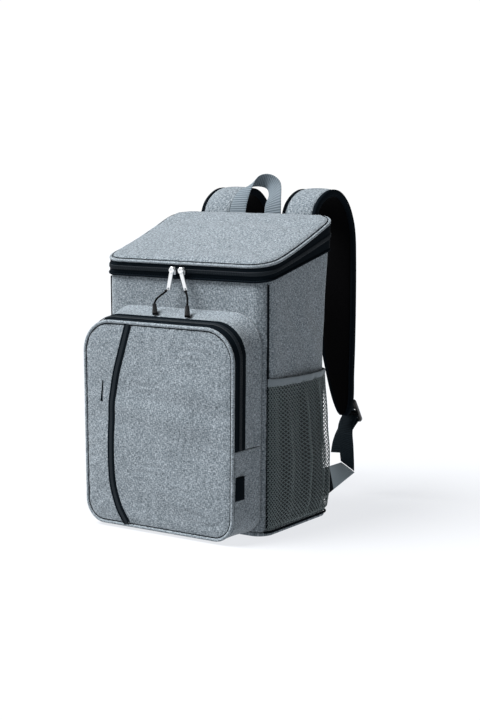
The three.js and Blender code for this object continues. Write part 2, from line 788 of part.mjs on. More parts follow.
function buildWebbing(name, side) {
  const lockFace = seamGap + webbingThickness;
  const head = lockPoint(side, 0, 0.18 * lockLength, lockFace);
  const tailHead = lockPoint(side, 0, 0.4 * lockLength, 2 * seamGap);
  const corner = wallPoint(side > 0 ? backCorner : lap - backCorner, tabSeamHeight, 0);
  const placeFrom = (start) => (row) => {
    const x = lerp(start.x, corner.x, row.out);
    return new THREE.Vector3(x, lerp(corner.y, start.y, row.back), start.z * row.up);
  };
  const turned = (rows) => rows.map((row) => ({ ...row, ax: side * row.ax }));
  const lower = webbingEdges(turned(webbingRows), webbingWidth, placeFrom(head));
  const half = webbingThickness / 2;
  addPiece(`lower_webbing_${name}`, strip(lower, 20, wholeWidth, -half, half), darkWebbing);
  const tail = webbingEdges(turned(tailRows), webbingWidth, placeFrom(tailHead));
  addPiece(`webbing_tail_${name}`, strip(tail, 14, wholeWidth, -half, half), darkWebbing);

  const seat = corner.clone().add(new THREE.Vector3(-side * tabSeatInset, tabSeatBack, 0));
  const tabEdge = (share) => {
    const seam = seat.clone().add(new THREE.Vector3(0, 0, (0.5 - share) * tabSeamHeight));
    const end = (share < 0.5 ? lower.a : lower.b).getPoint(1);
    end.addScaledVector(lower.a.getTangent(1), 2 * seamGap + tabThickness);
    return new THREE.LineCurve3(seam, end);
  };
  const tab = { a: tabEdge(0), b: tabEdge(1) };
  const tabHalf = tabThickness / 2;
  const tabSlab = (from, to, thickness) => {
    const stretch = (curve) => new THREE.LineCurve3(curve.getPoint(from), curve.getPoint(to));
    const edges = { a: stretch(tab.a), b: stretch(tab.b) };
    return strip(edges, 8, wholeWidth, -thickness, thickness);
  };
  addPiece(`corner_tab_${name}`, tabSlab(0.2, 1, tabHalf), plainGrey);
  addPiece(`tab_binding_${name}`, tabSlab(0, 0.197, 1.4 * tabHalf), darkWebbing);
}

// Carry handle: middle of the webbing, across as a share of half its span, depth of its lean,
// height of its rise, and the direction across it
const handleRows = [
  { x: -1, depth: 0, height: 0, ax: 1, ay: 0, az: 0 },
  { x: -1, depth: 0, height: 0.3, ax: 1, ay: 0, az: 0 },
  { x: -0.98, depth: 0.17, height: 0.55, ax: 1, ay: 0, az: 0.05 },
  { x: -0.76, depth: 0.5, height: 0.78, ax: 0.93, ay: -0.33, az: 0.1 },
  { x: -0.28, depth: 0.78, height: 0.9, ax: 0.62, ay: -0.55, az: 0.56 },
  { x: 0.42, depth: 0.7, height: 0.9, ax: 0.53, ay: -0.4, az: 0.75 },
  { x: 0.86, depth: 0.47, height: 0.8, ax: 0.62, ay: 0.1, az: 0.76 },
  { x: 0.97, depth: 0.13, height: 0.6, ax: 0.95, ay: 0.03, az: 0.3 },
  { x: 1, depth: 0.01, height: 0.33, ax: 1, ay: 0, az: 0 },
  { x: 1, depth: 0, height: 0, ax: 1, ay: 0, az: 0 },
];

function buildHandle() {
  const rootDepth = bodyHalfDepth + 2 * seamGap + handleThickness / 2;
  const rootHeight = strapTopHeight - 0.236 * strapRise;
  const place = (row) => {
    const x = (row.x * handleSpan) / 2;
    return new THREE.Vector3(x, rootDepth + row.depth * handleLean, rootHeight + row.height * handleRise);
  };
  const edges = webbingEdges(handleRows, handleWidth, place);
  const half = handleThickness / 2;
  addPiece('carry_handle', strip(edges, 44, wholeWidth, -half, half), plainGrey);
}

// Zip pulls: each short cord loop hangs from its tab's hole, with its run sideways, forward and
// down as shares of its drop, and its grip lies on the pocket's top
const pullPlaces = [
  {
    name: 'left',
    slider: -8.6,
    tabLean: -0.225,
    loop: [
      { side: -0.07, front: 0.02, down: 0.16 },
      { side: -0.26, front: 0.08, down: 0.3 },
      { side: -0.53, front: 0.07, down: 0.47 },
      { side: -0.78, front: 0.05, down: 0.65 },
      { side: -0.93, front: 0.05, down: 0.86 },
      { side: -0.96, front: 0.08, down: 1 },
    ],
    gripRun: 0.64,
  },
  {
    name: 'right',
    slider: 7,
    tabLean: 0.31,
    loop: [
      { side: 0.1, front: 0.02, down: 0.14 },
      { side: 0.2, front: 0.08, down: 0.3 },
      { side: 0.25, front: 0.07, down: 0.5 },
      { side: 0.24, front: 0.05, down: 0.7 },
      { side: 0.23, front: 0.05, down: 0.84 },
      { side: 0.24, front: 0.08, down: 1 },
    ],
    gripRun: 0.58,
  },
];
const gripDepthShare = 0.39;

function buildPull(pull) {
  const lean = Math.atan2(bandPoint(0, 0, 0).y - bandPoint(0, 1, 0).y, bandHeight(0));
  const stand = 2 * seamGap + coilThickness + sliderThickness / 2;
  const centre = bandPoint(0, coilHeightShare, stand / Math.cos(lean));
  const slider = new THREE.BoxGeometry(sliderWidth, sliderThickness, sliderHeight, 2, 1, 2);
  const body = bend(slider, (at) => {
    const slim = 1 - 0.25 * Math.abs(at.z / sliderHeight) * 2;
    return new THREE.Vector3(at.x * slim, at.y, at.z);
  });
  const sliderPiece = addPiece(`zip_slider_${pull.name}`, body, silverMetal);
  sliderPiece.rotation.x = lean;
  sliderPiece.position.set(pull.slider, centre.y, centre.z);

  const half = pullTabWidth / 2;
  const tabRun = pullTabLength - pullTabWidth;
  const shape = new THREE.Shape();
  shape.absarc(0, 0, half, 0, Math.PI, false);
  shape.absarc(0, -tabRun, 0.85 * half, Math.PI, 2 * Math.PI, false);
  const eye = new THREE.Path();
  eye.absarc(0, -tabRun, pullHoleRadius, 0, 2 * Math.PI, true);
  shape.holes.push(eye);
  const depth = pullTabThickness;
  const plate = new THREE.ExtrudeGeometry(shape, { depth, bevelEnabled: false, curveSegments: 8 });
  const tab = addPiece(`pull_tab_${pull.name}`, plate, silverMetal);
  tab.rotation.set(quarterTurn, 0, 0);
  tab.rotation.order = 'YXZ';
  tab.rotation.y = -pull.tabLean;
  const nose = (sliderThickness * Math.cos(lean) + sliderHeight * Math.sin(lean)) / 2;
  tab.position.set(pull.slider, centre.y - nose - seamGap, centre.z + 0.1 * sliderHeight);

  const hole = new THREE.Vector3(Math.sin(pull.tabLean), 0, -Math.cos(pull.tabLean));
  hole.multiplyScalar(tabRun).add(tab.position);
  hole.y -= pullTabThickness + seamGap + pullLoopDiameter / 2;
  const route = pull.loop.map((row) => {
    return new THREE.Vector3(row.side, -row.front, -row.down).multiplyScalar(pullLoopDrop).add(hole);
  });
  const loop = tube(new THREE.CatmullRomCurve3(route), 10, pullLoopDiameter / 2, 8);
  addPiece(`pull_loop_${pull.name}`, loop, blackTrim);

  const gripStart = route.at(-1);
  const gripDepth = lerp(pocketTapeFront, bodyFront, gripDepthShare);
  const gripEnd = gussetPoint(6, gripDepth, 4 * seamGap + gripThickness / 2);
  gripEnd.x = gripStart.x + pull.gripRun * pullLoopDrop;
  const axis = gripEnd.clone().sub(gripStart).normalize();
  const head = gripStart.clone().addScaledVector(axis, seamGap + 0.5 * pullLoopDiameter);
  const across = new THREE.Vector3(0, 0, 1).cross(axis).normalize();
  const up = axis.clone().cross(across);
  const grip = bentSlab(4, 1, (u, v, w) => {
    const width = gripWidth * (0.75 + 0.4 * u);
    return head.clone().lerp(gripEnd, u)
      .addScaledVector(across, (v - 0.5) * width)
      .addScaledVector(up, (w - 0.5) * gripThickness);
  });
  addPiece(`pull_grip_${pull.name}`, grip, blackTrim);
}

buildBase();
buildWalls();
buildBodyPiping();
buildLid();
buildBand();
buildPocket();
buildPocketTrim();
for (const [name, side] of [['right', 1], ['left', -1]]) {
  buildSidePocket(name, side);
  buildStrap(name, side);
  buildLock(name, side);
  buildWebbing(name, side);
}
buildHandle();
pullPlaces.forEach(buildPull);

export default backpack;
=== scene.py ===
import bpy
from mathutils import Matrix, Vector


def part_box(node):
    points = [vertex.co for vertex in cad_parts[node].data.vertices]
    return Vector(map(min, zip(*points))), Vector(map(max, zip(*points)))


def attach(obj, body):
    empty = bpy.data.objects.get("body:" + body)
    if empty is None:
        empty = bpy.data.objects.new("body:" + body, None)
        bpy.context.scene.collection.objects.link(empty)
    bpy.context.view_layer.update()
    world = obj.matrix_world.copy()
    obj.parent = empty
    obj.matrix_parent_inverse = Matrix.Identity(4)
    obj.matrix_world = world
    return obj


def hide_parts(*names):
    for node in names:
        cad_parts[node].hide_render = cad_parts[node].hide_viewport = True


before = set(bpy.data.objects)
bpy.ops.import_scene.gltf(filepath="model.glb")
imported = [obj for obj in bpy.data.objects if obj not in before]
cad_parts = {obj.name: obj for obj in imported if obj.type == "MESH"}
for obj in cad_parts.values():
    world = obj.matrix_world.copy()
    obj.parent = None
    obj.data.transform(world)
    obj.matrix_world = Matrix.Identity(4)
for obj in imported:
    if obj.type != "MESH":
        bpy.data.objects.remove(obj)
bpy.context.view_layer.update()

import math

import bmesh
import bpy
import numpy as np
from mathutils import Vector

# ---------------------------------------------------------------------------------------------
# Camera, floor and studio light.
# The bag stands on a plain pale floor, seen from its front right and a little above. A wide soft
# lamp stands up on the left in front, and a pale surround fills the shade.

CAMERA_TURN, CAMERA_RISE = math.radians(34.09), math.radians(7.97)
CAMERA_DISTANCE = 2.2333
CAMERA_AIM = Vector((0.03615, 0.0, 0.23317))
CAMERA_LENS, SENSOR = 76.78, 36.0
FLOOR_RADIUS = 9.0


def linear(code):
    """An sRGB hex colour as linear red, green, blue and alpha 1."""
    channels = np.array([int(code[k : k + 2], 16) for k in (1, 3, 5)]) / 255
    curve = np.where(channels <= 0.04045, channels / 12.92, ((channels + 0.055) / 1.055) ** 2.4)
    return (*curve.tolist(), 1.0)


def add(tree, kind, inputs=None, **settings):
    """One node with its settings. An input is a plain value, or (node, output) for a link."""
    made = tree.nodes.new(kind)
    for name, value in settings.items():
        setattr(made, name, value)
    for name, value in (inputs or {}).items():
        if isinstance(value, tuple) and isinstance(value[0], bpy.types.Node):
            tree.links.new(value[0].outputs[value[1]], made.inputs[name])
        else:
            made.inputs[name].default_value = value
    return made


def finish_of(name, **sockets):
    """A new material: its node tree and its shader, with the sockets that are the same all over."""
    made = bpy.data.materials.new(name)
    made.use_nodes = True
    shader = made.node_tree.nodes["Principled BSDF"]
    for socket, value in sockets.items():
        shader.inputs[socket.replace("_", " ")].default_value = value
    return made, made.node_tree, shader


def bumped(tree, shader, height, strength, distance):
    """A bump on the shader, from a height given as (node, output). distance is in metres."""
    bump = add(tree, "ShaderNodeBump", {"Height": height, "Strength": strength, "Distance": distance})
    tree.links.new(bump.outputs[0], shader.inputs["Normal"])


def blended(tree, share, low, high):
    """A colour from low to high by a share given as (node, output)."""
    return add(tree, "ShaderNodeMix", {0: share, 6: low, 7: high}, data_type="RGBA")


away = Vector((math.sin(CAMERA_TURN) * math.cos(CAMERA_RISE),
               -math.cos(CAMERA_TURN) * math.cos(CAMERA_RISE),
               math.sin(CAMERA_RISE)))
lens = bpy.data.cameras.new("camera")
lens.lens, lens.sensor_width = CAMERA_LENS, SENSOR
lens.clip_start, lens.clip_end = 0.05, 60
camera = bpy.data.objects.new("camera", lens)
camera.location = CAMERA_AIM + away * CAMERA_DISTANCE
camera.rotation_mode = "QUATERNION"
camera.rotation_quaternion = (-away).to_track_quat("-Z", "Y")
bpy.context.collection.objects.link(camera)
bpy.context.scene.camera = camera
bpy.context.scene.view_settings.view_transform = "Standard"
bpy.context.scene.view_settings.look = "None"

world = bpy.data.worlds.new("studio")
world.use_nodes = True
bpy.context.scene.world = world
sky = world.node_tree
background = sky.nodes["Background"]
# The surround is white at the horizon and dim overhead, so the shaded side stays dark
place = add(sky, "ShaderNodeTexCoord")
height = add(sky, "ShaderNodeSeparateXYZ", {0: (place, "Generated")})
fade = add(sky, "ShaderNodeMapRange", {"Value": (height, "Z"), "From Min": 0.1, "From Max": 0.2,
                                       "To Min": 1.03, "To Max": 0.14})
sky.links.new(fade.outputs[0], background.inputs["Strength"])
background.inputs["Color"].default_value = linear("#ffffff")

lamp = bpy.data.lights.new("soft_lamp", "SUN")
lamp.energy, lamp.angle = 7.9, math.radians(36)
lamp_object = bpy.data.objects.new("soft_lamp", lamp)
lamp_object.rotation_mode = "QUATERNION"
lamp_object.rotation_quaternion = Vector((-0.42, -0.42, 0.86)).to_track_quat("Z", "Y")
bpy.context.collection.objects.link(lamp_object)

# Opal floor panel, lit from below: matt white, so the bag's shadow on it stays faint
floor_finish, _, _ = finish_of("opal_floor", Base_Color=linear("#5f6061"), Roughness=0.95,
                               Emission_Color=linear("#f9fbff"), Emission_Strength=0.8,
                               Specular_IOR_Level=0.0)
turns = np.linspace(0, 2 * np.pi, 64, endpoint=False)
rim = np.stack([FLOOR_RADIUS * np.cos(turns), FLOOR_RADIUS * np.sin(turns), 0 * turns], -1)
floor_mesh = bpy.data.meshes.new("floor")
floor_mesh.from_pydata(rim.tolist(), [], [list(range(64))])
floor_mesh.materials.append(floor_finish)
floor = bpy.data.objects.new("floor", floor_mesh)
bpy.context.collection.objects.link(floor)

# ---------------------------------------------------------------------------------------------
# Body walls and base.
# A foam-padded bag body: polyester mélange cloth outside, foam, and a lining, sewn as one shell
# whose walls wrap round the corners and sag a little between the seams.

SEAM = 0.3
BODY_WIDTH, BODY_DEPTH = 280.0, 181.0
BODY_FRONT_HEIGHT, BODY_BACK_HEIGHT = 359.0, 398.0
BODY_CORNER = 22.0
BASE_SHARE = 0.977
WALL, BASE = 6.0, 7.0
SIDE_CROWN = 3.0
WALL_RISE = 340
HALF_DEPTH = BODY_DEPTH / 2
LAP = 12
FRONT_CORNER, BACK_CORNER = 1.5, 4.5
CORNER_SEAM = 1.66
BODY_LOOP = dict(half=BODY_WIDTH / 2, low=-HALF_DEPTH, high=HALF_DEPTH,
                 low_radius=BODY_CORNER, high_radius=BODY_CORNER, split=0.0)
LID_FRONT = -HALF_DEPTH - 8.0
NET_TOP = 213.0
LID_FRONT_HEIGHT, LID_BACK_HEIGHT, LID_CURVE = 376.0, 438.0, 1.3


def mix(low, high, share):
    """The value at a share of the way from low to high."""
    return low + (high - low) * share


def smooth(share):
    """A share eased at both ends: 3s² - 2s³, held between 0 and 1."""
    held = np.clip(share, 0, 1)
    return held * held * (3 - 2 * held)


def loop_point(loop, t):
    """A rounded rectangle walked from the middle of its low side. Turns 0-1 are half the low
    side, 1-2 a quarter circle, 2-4 the side, 4-5 a quarter circle, 5-6 half the high side, and
    6-12 the same mirrored. Gives the point and its outward normal, as four arrays."""
    turn = np.mod(t, LAP)
    mirrored = turn > LAP / 2
    walked = np.where(mirrored, LAP - turn, turn)
    half, low, high = loop["half"], loop["low"], loop["high"]
    r, big = loop["low_radius"], loop["high_radius"]
    quarter = np.pi / 2
    low_angle = -quarter * (1 - np.clip(walked - 1, 0, 1))
    high_angle = quarter * np.clip(walked - 4, 0, 1)
    angle = np.where(walked < 2, low_angle, high_angle)
    a = np.where(walked < 2, half - r * (1 - np.cos(low_angle)), half - big * (1 - np.cos(high_angle)))
    a = np.where(walked < 1, walked * (half - r), a)
    a = np.where(walked > 5, (6 - walked) * (half - big), a)
    side_b = np.where(walked < 3, mix(low + r, loop["split"], walked - 2),
                      mix(loop["split"], high - big, walked - 3))
    b = np.where(walked < 2, low + r * (1 + np.sin(low_angle)), side_b)
    b = np.where(walked > 4, high - big * (1 - np.sin(high_angle)), b)
    side = np.where(mirrored, -1.0, 1.0)
    return side * a, b, side * np.cos(angle), np.sin(angle)


def inset(loop, distance):
    """The loop drawn in by a distance."""
    return {**loop, "half": loop["half"] - distance, "low": loop["low"] + distance,
            "high": loop["high"] - distance, "low_radius": loop["low_radius"] - distance,
            "high_radius": loop["high_radius"] - distance}


def wall_top(y):
    """Height of the walls' sloping top edge at depth y."""
    return mix(BODY_FRONT_HEIGHT, BODY_BACK_HEIGHT, (y + HALF_DEPTH) / BODY_DEPTH)


def rim_height(y):
    """Height of the lid's lower rim at depth y."""
    share = np.clip((y - LID_FRONT) / (HALF_DEPTH - LID_FRONT), 0, 1)
    return mix(LID_FRONT_HEIGHT, LID_BACK_HEIGHT, share**LID_CURVE)


def waist(t, up):
    """How far the slack rear corners are drawn inwards, as two shifts in mm: a bell round the
    rear corner's turn times a half-sine up the wall."""
    walked = np.abs(np.mod(t + LAP / 2, LAP) - LAP / 2)
    bell = np.exp(-(((walked - BACK_CORNER) / 0.75) ** 2))
    bell = bell * np.sin(np.pi * np.clip(up, 0, 1)) ** 0.8
    return -5.5 * bell * np.where(np.mod(t, LAP) > LAP / 2, -1.0, 1.0), -6.0 * bell


def wall_point(t, height, offset):
    """The walls' outer face, pushed out by an offset. It is the body's loop, narrowed towards the
    base, plus a half-sine swell across and up each side panel, less the waist."""
    a, b, na, nb = loop_point(BODY_LOOP, t)
    walked = np.abs(np.mod(t + LAP / 2, LAP) - LAP / 2)
    across = np.clip((walked - FRONT_CORNER) / (BACK_CORNER - FRONT_CORNER), 0, 1)
    up = height / wall_top(b)
    swell = SIDE_CROWN * np.sin(np.pi * across) * np.sin(np.pi * np.clip(up, 0, 1))
    narrow = mix(BASE_SHARE, 1, np.minimum(up, 1))
    out = offset + swell
    in_x, in_y = waist(t, up)
    x, y = a * narrow + na * out + in_x, b * narrow + nb * out + in_y
    return np.stack(np.broadcast_arrays(x, y, height), -1)


def waves(u, v, seed, lengths, height):
    """Soft creases: a sum of sine waves of the given lengths, in random directions and phases
    from a fixed seed, over the two cloth coordinates."""
    chance = np.random.default_rng(seed)
    total = 0 * (u + v)
    for length in lengths:
        turn, phase = chance.uniform(0, np.pi), chance.uniform(0, 2 * np.pi, 2)
        bend = 0.25 * length * np.sin(2 * np.pi * v / (2.3 * length) + phase[1])
        bent = u * np.cos(turn) + v * np.sin(turn) + bend
        total = total + np.sin(2 * np.pi * bent / length + phase[0])
    return height * total / len(lengths)


def surface(name, points, closed=(False, False), inside=None, weld=0.0, cut_from=None):
    """A grid of points in mm becomes a mesh of quads with its own UV map in metres: the length
    along the grid's two directions, or two of the points' own coordinates for a flat cut. Faces
    are turned away from the point inside."""
    points = np.asarray(points, dtype=float)
    rows, columns = points.shape[:2]
    i, j = np.meshgrid(np.arange(rows if closed[0] else rows - 1),
                       np.arange(columns if closed[1] else columns - 1), indexing="ij")
    ni, nj = (i + 1) % rows, (j + 1) % columns
    quads = np.stack([i * columns + j, ni * columns + j, ni * columns + nj, i * columns + nj], -1)
    quads = quads.reshape(-1, 4)
    loop_u, loop_v = (np.stack([i, i + 1, i + 1, i], -1).reshape(-1, 4),
                      np.stack([j, j, j + 1, j + 1], -1).reshape(-1, 4))
    step_u = np.linalg.norm(np.diff(points, axis=0, append=points[:1]), axis=-1).mean(1)
    step_v = np.linalg.norm(np.diff(points, axis=1, append=points[:, :1]), axis=-1).mean(0)
    along_u = np.concatenate([[0], np.cumsum(step_u)])
    along_v = np.concatenate([[0], np.cumsum(step_v)])
    flat = points.reshape(-1, 3)
    corner = flat[quads]
    normal = np.cross(corner[:, 2] - corner[:, 0], corner[:, 3] - corner[:, 1])
    middle = corner.mean(1) - (np.zeros(3) if inside is None else np.asarray(inside, dtype=float))
    if (normal * middle).sum() < 0:
        quads, loop_u, loop_v = quads[:, ::-1], loop_u[:, ::-1], loop_v[:, ::-1]
    mesh = bpy.data.meshes.new(name)
    mesh.vertices.add(len(flat))
    mesh.vertices.foreach_set("co", (flat * 0.001).ravel())
    mesh.loops.add(quads.size)
    mesh.loops.foreach_set("vertex_index", quads.ravel().astype(np.int32))
    mesh.polygons.add(len(quads))
    mesh.polygons.foreach_set("loop_start", np.arange(0, quads.size, 4, dtype=np.int32))
    cut = mesh.uv_layers.new(name="cut")
    if cut_from is None:
        uv = np.stack([along_u[loop_u.ravel()], along_v[loop_v.ravel()]], -1) * 0.001
    else:
        uv = flat[quads.ravel()][:, cut_from] * 0.001
    cut.data.foreach_set("uv", uv.ravel())
    mesh.update(calc_edges=True)
    mesh.validate()
    if weld:
        work = bmesh.new()
        work.from_mesh(mesh)
        bmesh.ops.remove_doubles(work, verts=work.verts, dist=weld * 0.001)
        work.to_mesh(mesh)
        work.free()
    made = bpy.data.objects.new(name, mesh)
    bpy.context.collection.objects.link(made)
    return made


def settle(piece, held, growth, pressure, cap, bending, frames=14):
    """Sewn cloth: a simulation in which the cloth is a share larger than the seams that hold it and
    is padded out by a pressure. held is 1 where a seam holds it."""
    mesh = piece.data
    count = len(mesh.vertices)
    before = np.empty(count * 3)
    mesh.vertices.foreach_get("co", before)
    group = piece.vertex_groups.new(name="seams")
    for weight in (0.25, 0.5, 0.75, 1.0):
        chosen = np.nonzero(np.abs(np.ceil(held * 4) / 4 - weight) < 0.01)[0]
        group.add(chosen.tolist(), weight, "REPLACE")
    cloth = piece.modifiers.new("settle", "CLOTH")
    rules = cloth.settings
    rules.quality, rules.mass, rules.air_damping = 5, 0.25, 4.0
    rules.vertex_group_mass = "seams"
    rules.effector_weights.gravity = 0.0
    rules.shrink_min = rules.shrink_max = -growth
    rules.bending_stiffness = bending
    rules.use_pressure, rules.uniform_pressure_force = True, pressure
    cloth.collision_settings.use_collision = False
    cloth.point_cache.frame_start, cloth.point_cache.frame_end = 1, frames
    for step in range(1, frames + 1):
        bpy.context.scene.frame_set(step)
    settled = piece.evaluated_get(bpy.context.evaluated_depsgraph_get()).to_mesh()
    after = np.empty(count * 3)
    settled.vertices.foreach_get("co", after)
    piece.modifiers.remove(cloth)
    bpy.context.scene.frame_set(1)
    move = (after - before).reshape(-1, 3)
    size = np.linalg.norm(move, axis=1, keepdims=True)
    move *= np.minimum(1, cap * 0.001 / np.maximum(size, 1e-9))
    mesh.vertices.foreach_set("co", (before.reshape(-1, 3) + move * (1 - held[:, None])).ravel())
    mesh.update()
    return piece


def places(piece):
    """The piece's own points in mm, one row each."""
    found = np.empty(len(piece.data.vertices) * 3)
    piece.data.vertices.foreach_get("co", found)
    return found.reshape(-1, 3) * 1000


def dress(piece, finish, slot, *nodes):
    """The piece gets its finish and smooth shading, rides on the bag and stands for CAD nodes."""
    piece.data.materials.clear()
    piece.data.materials.append(finish)
    piece.data.polygons.foreach_set("use_smooth", np.ones(len(piece.data.polygons), dtype=bool))
    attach(piece, "root")
    if nodes:
        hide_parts(*nodes)
    return piece


def wall_cloth(piece, thickness):
    """A wall's thickness, laid inwards from its outer face."""
    shell = piece.modifiers.new("thickness", "SOLIDIFY")
    shell.thickness, shell.offset = thickness * 0.001, -1
    return piece


def melange_cloth(name, pale, middle, dark):
    """Polyester mélange, plain woven of dyed and undyed yarns: matt, with short pale and dark
    flecks that run along both thread directions. Real yarns are about 0.5 mm apart; the flecks
    are drawn 1.2 mm wide and 4.2 mm long so that they show at this size."""
    made, tree, shader = finish_of(name, Roughness=0.93, Sheen_Weight=0.12, Sheen_Roughness=0.6,
                                   Specular_IOR_Level=0.25)
    cut = add(tree, "ShaderNodeUVMap", uv_map="cut")
    tones = []
    for across, along in ((1200, 4200), (4200, 1200)):
        stretch = add(tree, "ShaderNodeMapping", {"Vector": (cut, "UV"),
                                                  "Scale": (1e6 / across, 1e6 / along, 1.0)})
        tones.append(add(tree, "ShaderNodeTexNoise", {"Vector": (stretch, "Vector"), "Scale": 1.0,
                                                      "Detail": 2.0, "Roughness": 0.7},
                         noise_dimensions="2D"))
    both = add(tree, "ShaderNodeMath", {0: (tones[0], 0), 1: (tones[1], 0)}, operation="ADD")
    cloud = add(tree, "ShaderNodeMapping", {"Vector": (cut, "UV"), "Scale": (55.0, 55.0, 1.0)})
    patch = add(tree, "ShaderNodeTexNoise", {"Vector": (cloud, "Vector"), "Scale": 1.0, "Detail": 2.0},
                noise_dimensions="2D")
    uneven = add(tree, "ShaderNodeMath", {0: (patch, 0), 1: 0.16, 2: (both, 0)}, operation="MULTIPLY_ADD")
    light = add(tree, "ShaderNodeMapRange", {"Value": (uneven, 0), "From Min": 1.06, "From Max": 1.42})
    shade = add(tree, "ShaderNodeMapRange", {"Value": (uneven, 0), "From Min": 1.06, "From Max": 0.72})
    base = blended(tree, (light, 0), linear(middle), linear(pale))
    tone = blended(tree, (shade, 0), (base, 2), linear(dark))
    tree.links.new(tone.outputs[2], shader.inputs["Base Color"])
    bumped(tree, shader, (both, 0), 0.25, 0.0004)
    return made


heather = melange_cloth("polyester_melange", "#989fa5", "#5f6970", "#2a3035")


def body_wrap_points():
    """Rows go round the walls by turn t, columns up the wall from the base to its top edge. The
    wall has its loop, soft creases that calm down behind the side pockets, and puckers that die
    away from the corner seams."""
    t = np.linspace(-BACK_CORNER + 0.01, BACK_CORNER - 0.01, 221)[:, None]
    v = np.linspace(0, 1, 96)[None, :]
    a, b, _, _ = loop_point(BODY_LOOP, t)
    height = mix(BASE + SEAM, wall_top(b) - SEAM, v)
    walked = np.abs(t)
    side = np.clip((walked - FRONT_CORNER) / (BACK_CORNER - FRONT_CORNER), 0, 1)
    on_side = np.sin(np.pi * side) * (walked > FRONT_CORNER)
    free = np.sin(np.pi * v) ** 0.6
    calm = mix(0.25, 1, smooth((height - NET_TOP) / 45))
    soft = waves(np.sign(t) * b + 0.3 * a, height, 11, (150, 95, 60), 3.8) * on_side * free * calm
    on_front = np.clip(1 - walked / FRONT_CORNER, 0, 1) ** 0.5 * smooth((height - 290) / 30)
    soft = soft + waves(a, height, 17, (120, 70), 1.6) * on_front * free
    seam_side = np.exp(-np.abs(walked - CORNER_SEAM) / 0.16)
    pucker = 0.9 * np.sin(2 * np.pi * height / 27 + 1.3 * np.sin(height / 31)) * seam_side * free
    from_foot, from_top = v * WALL_RISE, (1 - v) * WALL_RISE
    edge = -1.0 * np.exp(-(from_foot / 7)) - 1.2 * np.exp(-(from_top / 8))
    corner = -0.9 * np.exp(-((walked - CORNER_SEAM) * 14) ** 2 / 2)
    sag = -1.2 * (walked < FRONT_CORNER) * np.cos(np.pi * walked / 3)
    sag = sag * np.exp(-((1 - v) * 6) ** 2) * free
    return wall_point(t, height, soft + pucker + edge + corner + sag - 0.1)


body_wrap = wall_cloth(surface("body_wrap", body_wrap_points(), inside=(0, 0, 200)), WALL - 0.8)
dress(body_wrap, heather, "heather_fabric", "front_panel", "side_panel_right", "side_panel_left")


def back_points():
    """Columns across the back panel, rows up it. A foam back is flat in the middle, drawn in at
    its side seams, with three shallow sewn channels across it."""
    t = np.linspace(BACK_CORNER + 0.01, LAP - BACK_CORNER - 0.01, 120)[:, None]
    v = np.linspace(0, 1, 110)[None, :]
    a, b, _, _ = loop_point(BODY_LOOP, t)
    height = mix(BASE + SEAM, rim_height(b) - SEAM, v)
    seam_side = np.exp(-np.minimum(t - BACK_CORNER, LAP - BACK_CORNER - t) / 0.12)
    channels = sum(np.exp(-((height - place) / 3.0) ** 2) for place in (95.0, 185.0, 275.0))
    low_edge = np.exp(-(height - BASE) / 6)
    out = -1.0 * seam_side - 1.6 * channels * (1 - seam_side) - 1.0 * low_edge
    out = out + waves(a, height, 5, (120, 80), 0.5) * (1 - seam_side) * np.sin(np.pi * v)
    return wall_point(t, height, out - 0.1)


back_pad = wall_cloth(surface("back_pad", back_points(), inside=(0, 0, 200)), WALL - 1.2)
dress(back_pad, heather, "heather_fabric", "back_panel")


def base_points():
    """Closed plate: columns run from the middle of its underside out to the edge, up its rounded
    side and back to the middle of its top, rows go round by turn."""
    t = np.linspace(0, LAP, 144, endpoint=False)[:, None]
    profile = np.array([[0, 0.0], [0.5, 0.0], [0.9, 0.0], [0.975, 0.02], [0.992, 0.14], [0.997, 0.35],
                        [0.997, 0.65], [0.992, 0.86], [0.975, 1.0], [0.9, 1.0], [0.5, 1.0], [0, 1.0]])
    reach, layer = profile[None, :, 0], profile[None, :, 1]
    a, b, _, _ = loop_point(BODY_LOOP, t)
    x, y = a * BASE_SHARE * reach, b * BASE_SHARE * reach
    return np.stack(np.broadcast_arrays(x, y, layer * (BASE - 0.1)), -1)


base_pad = surface("base_pad", base_points(), closed=(True, False), inside=(0, 0, 3.5), weld=0.001,
                   cut_from=[0, 1])
dress(base_pad, heather, "heather_fabric", "base_panel")

# ---------------------------------------------------------------------------------------------
# Body piping.
# Round cord wrapped in black polyester tape and caught in the corner, base and top seams.

# The body's cords are sunk in their seams, so each shows thinner than this.
BODY_PIPING = 2.3


def unit(vectors):
    """Vectors of length one."""
    return vectors / np.maximum(np.linalg.norm(vectors, axis=-1, keepdims=True), 1e-9)


def face_out(made, index, outward):
    """Turns the whole mesh round where the face of this index points against outward."""
    if np.dot(np.array(made.data.polygons[index].normal), outward) < 0:
        made.data.flip_normals()


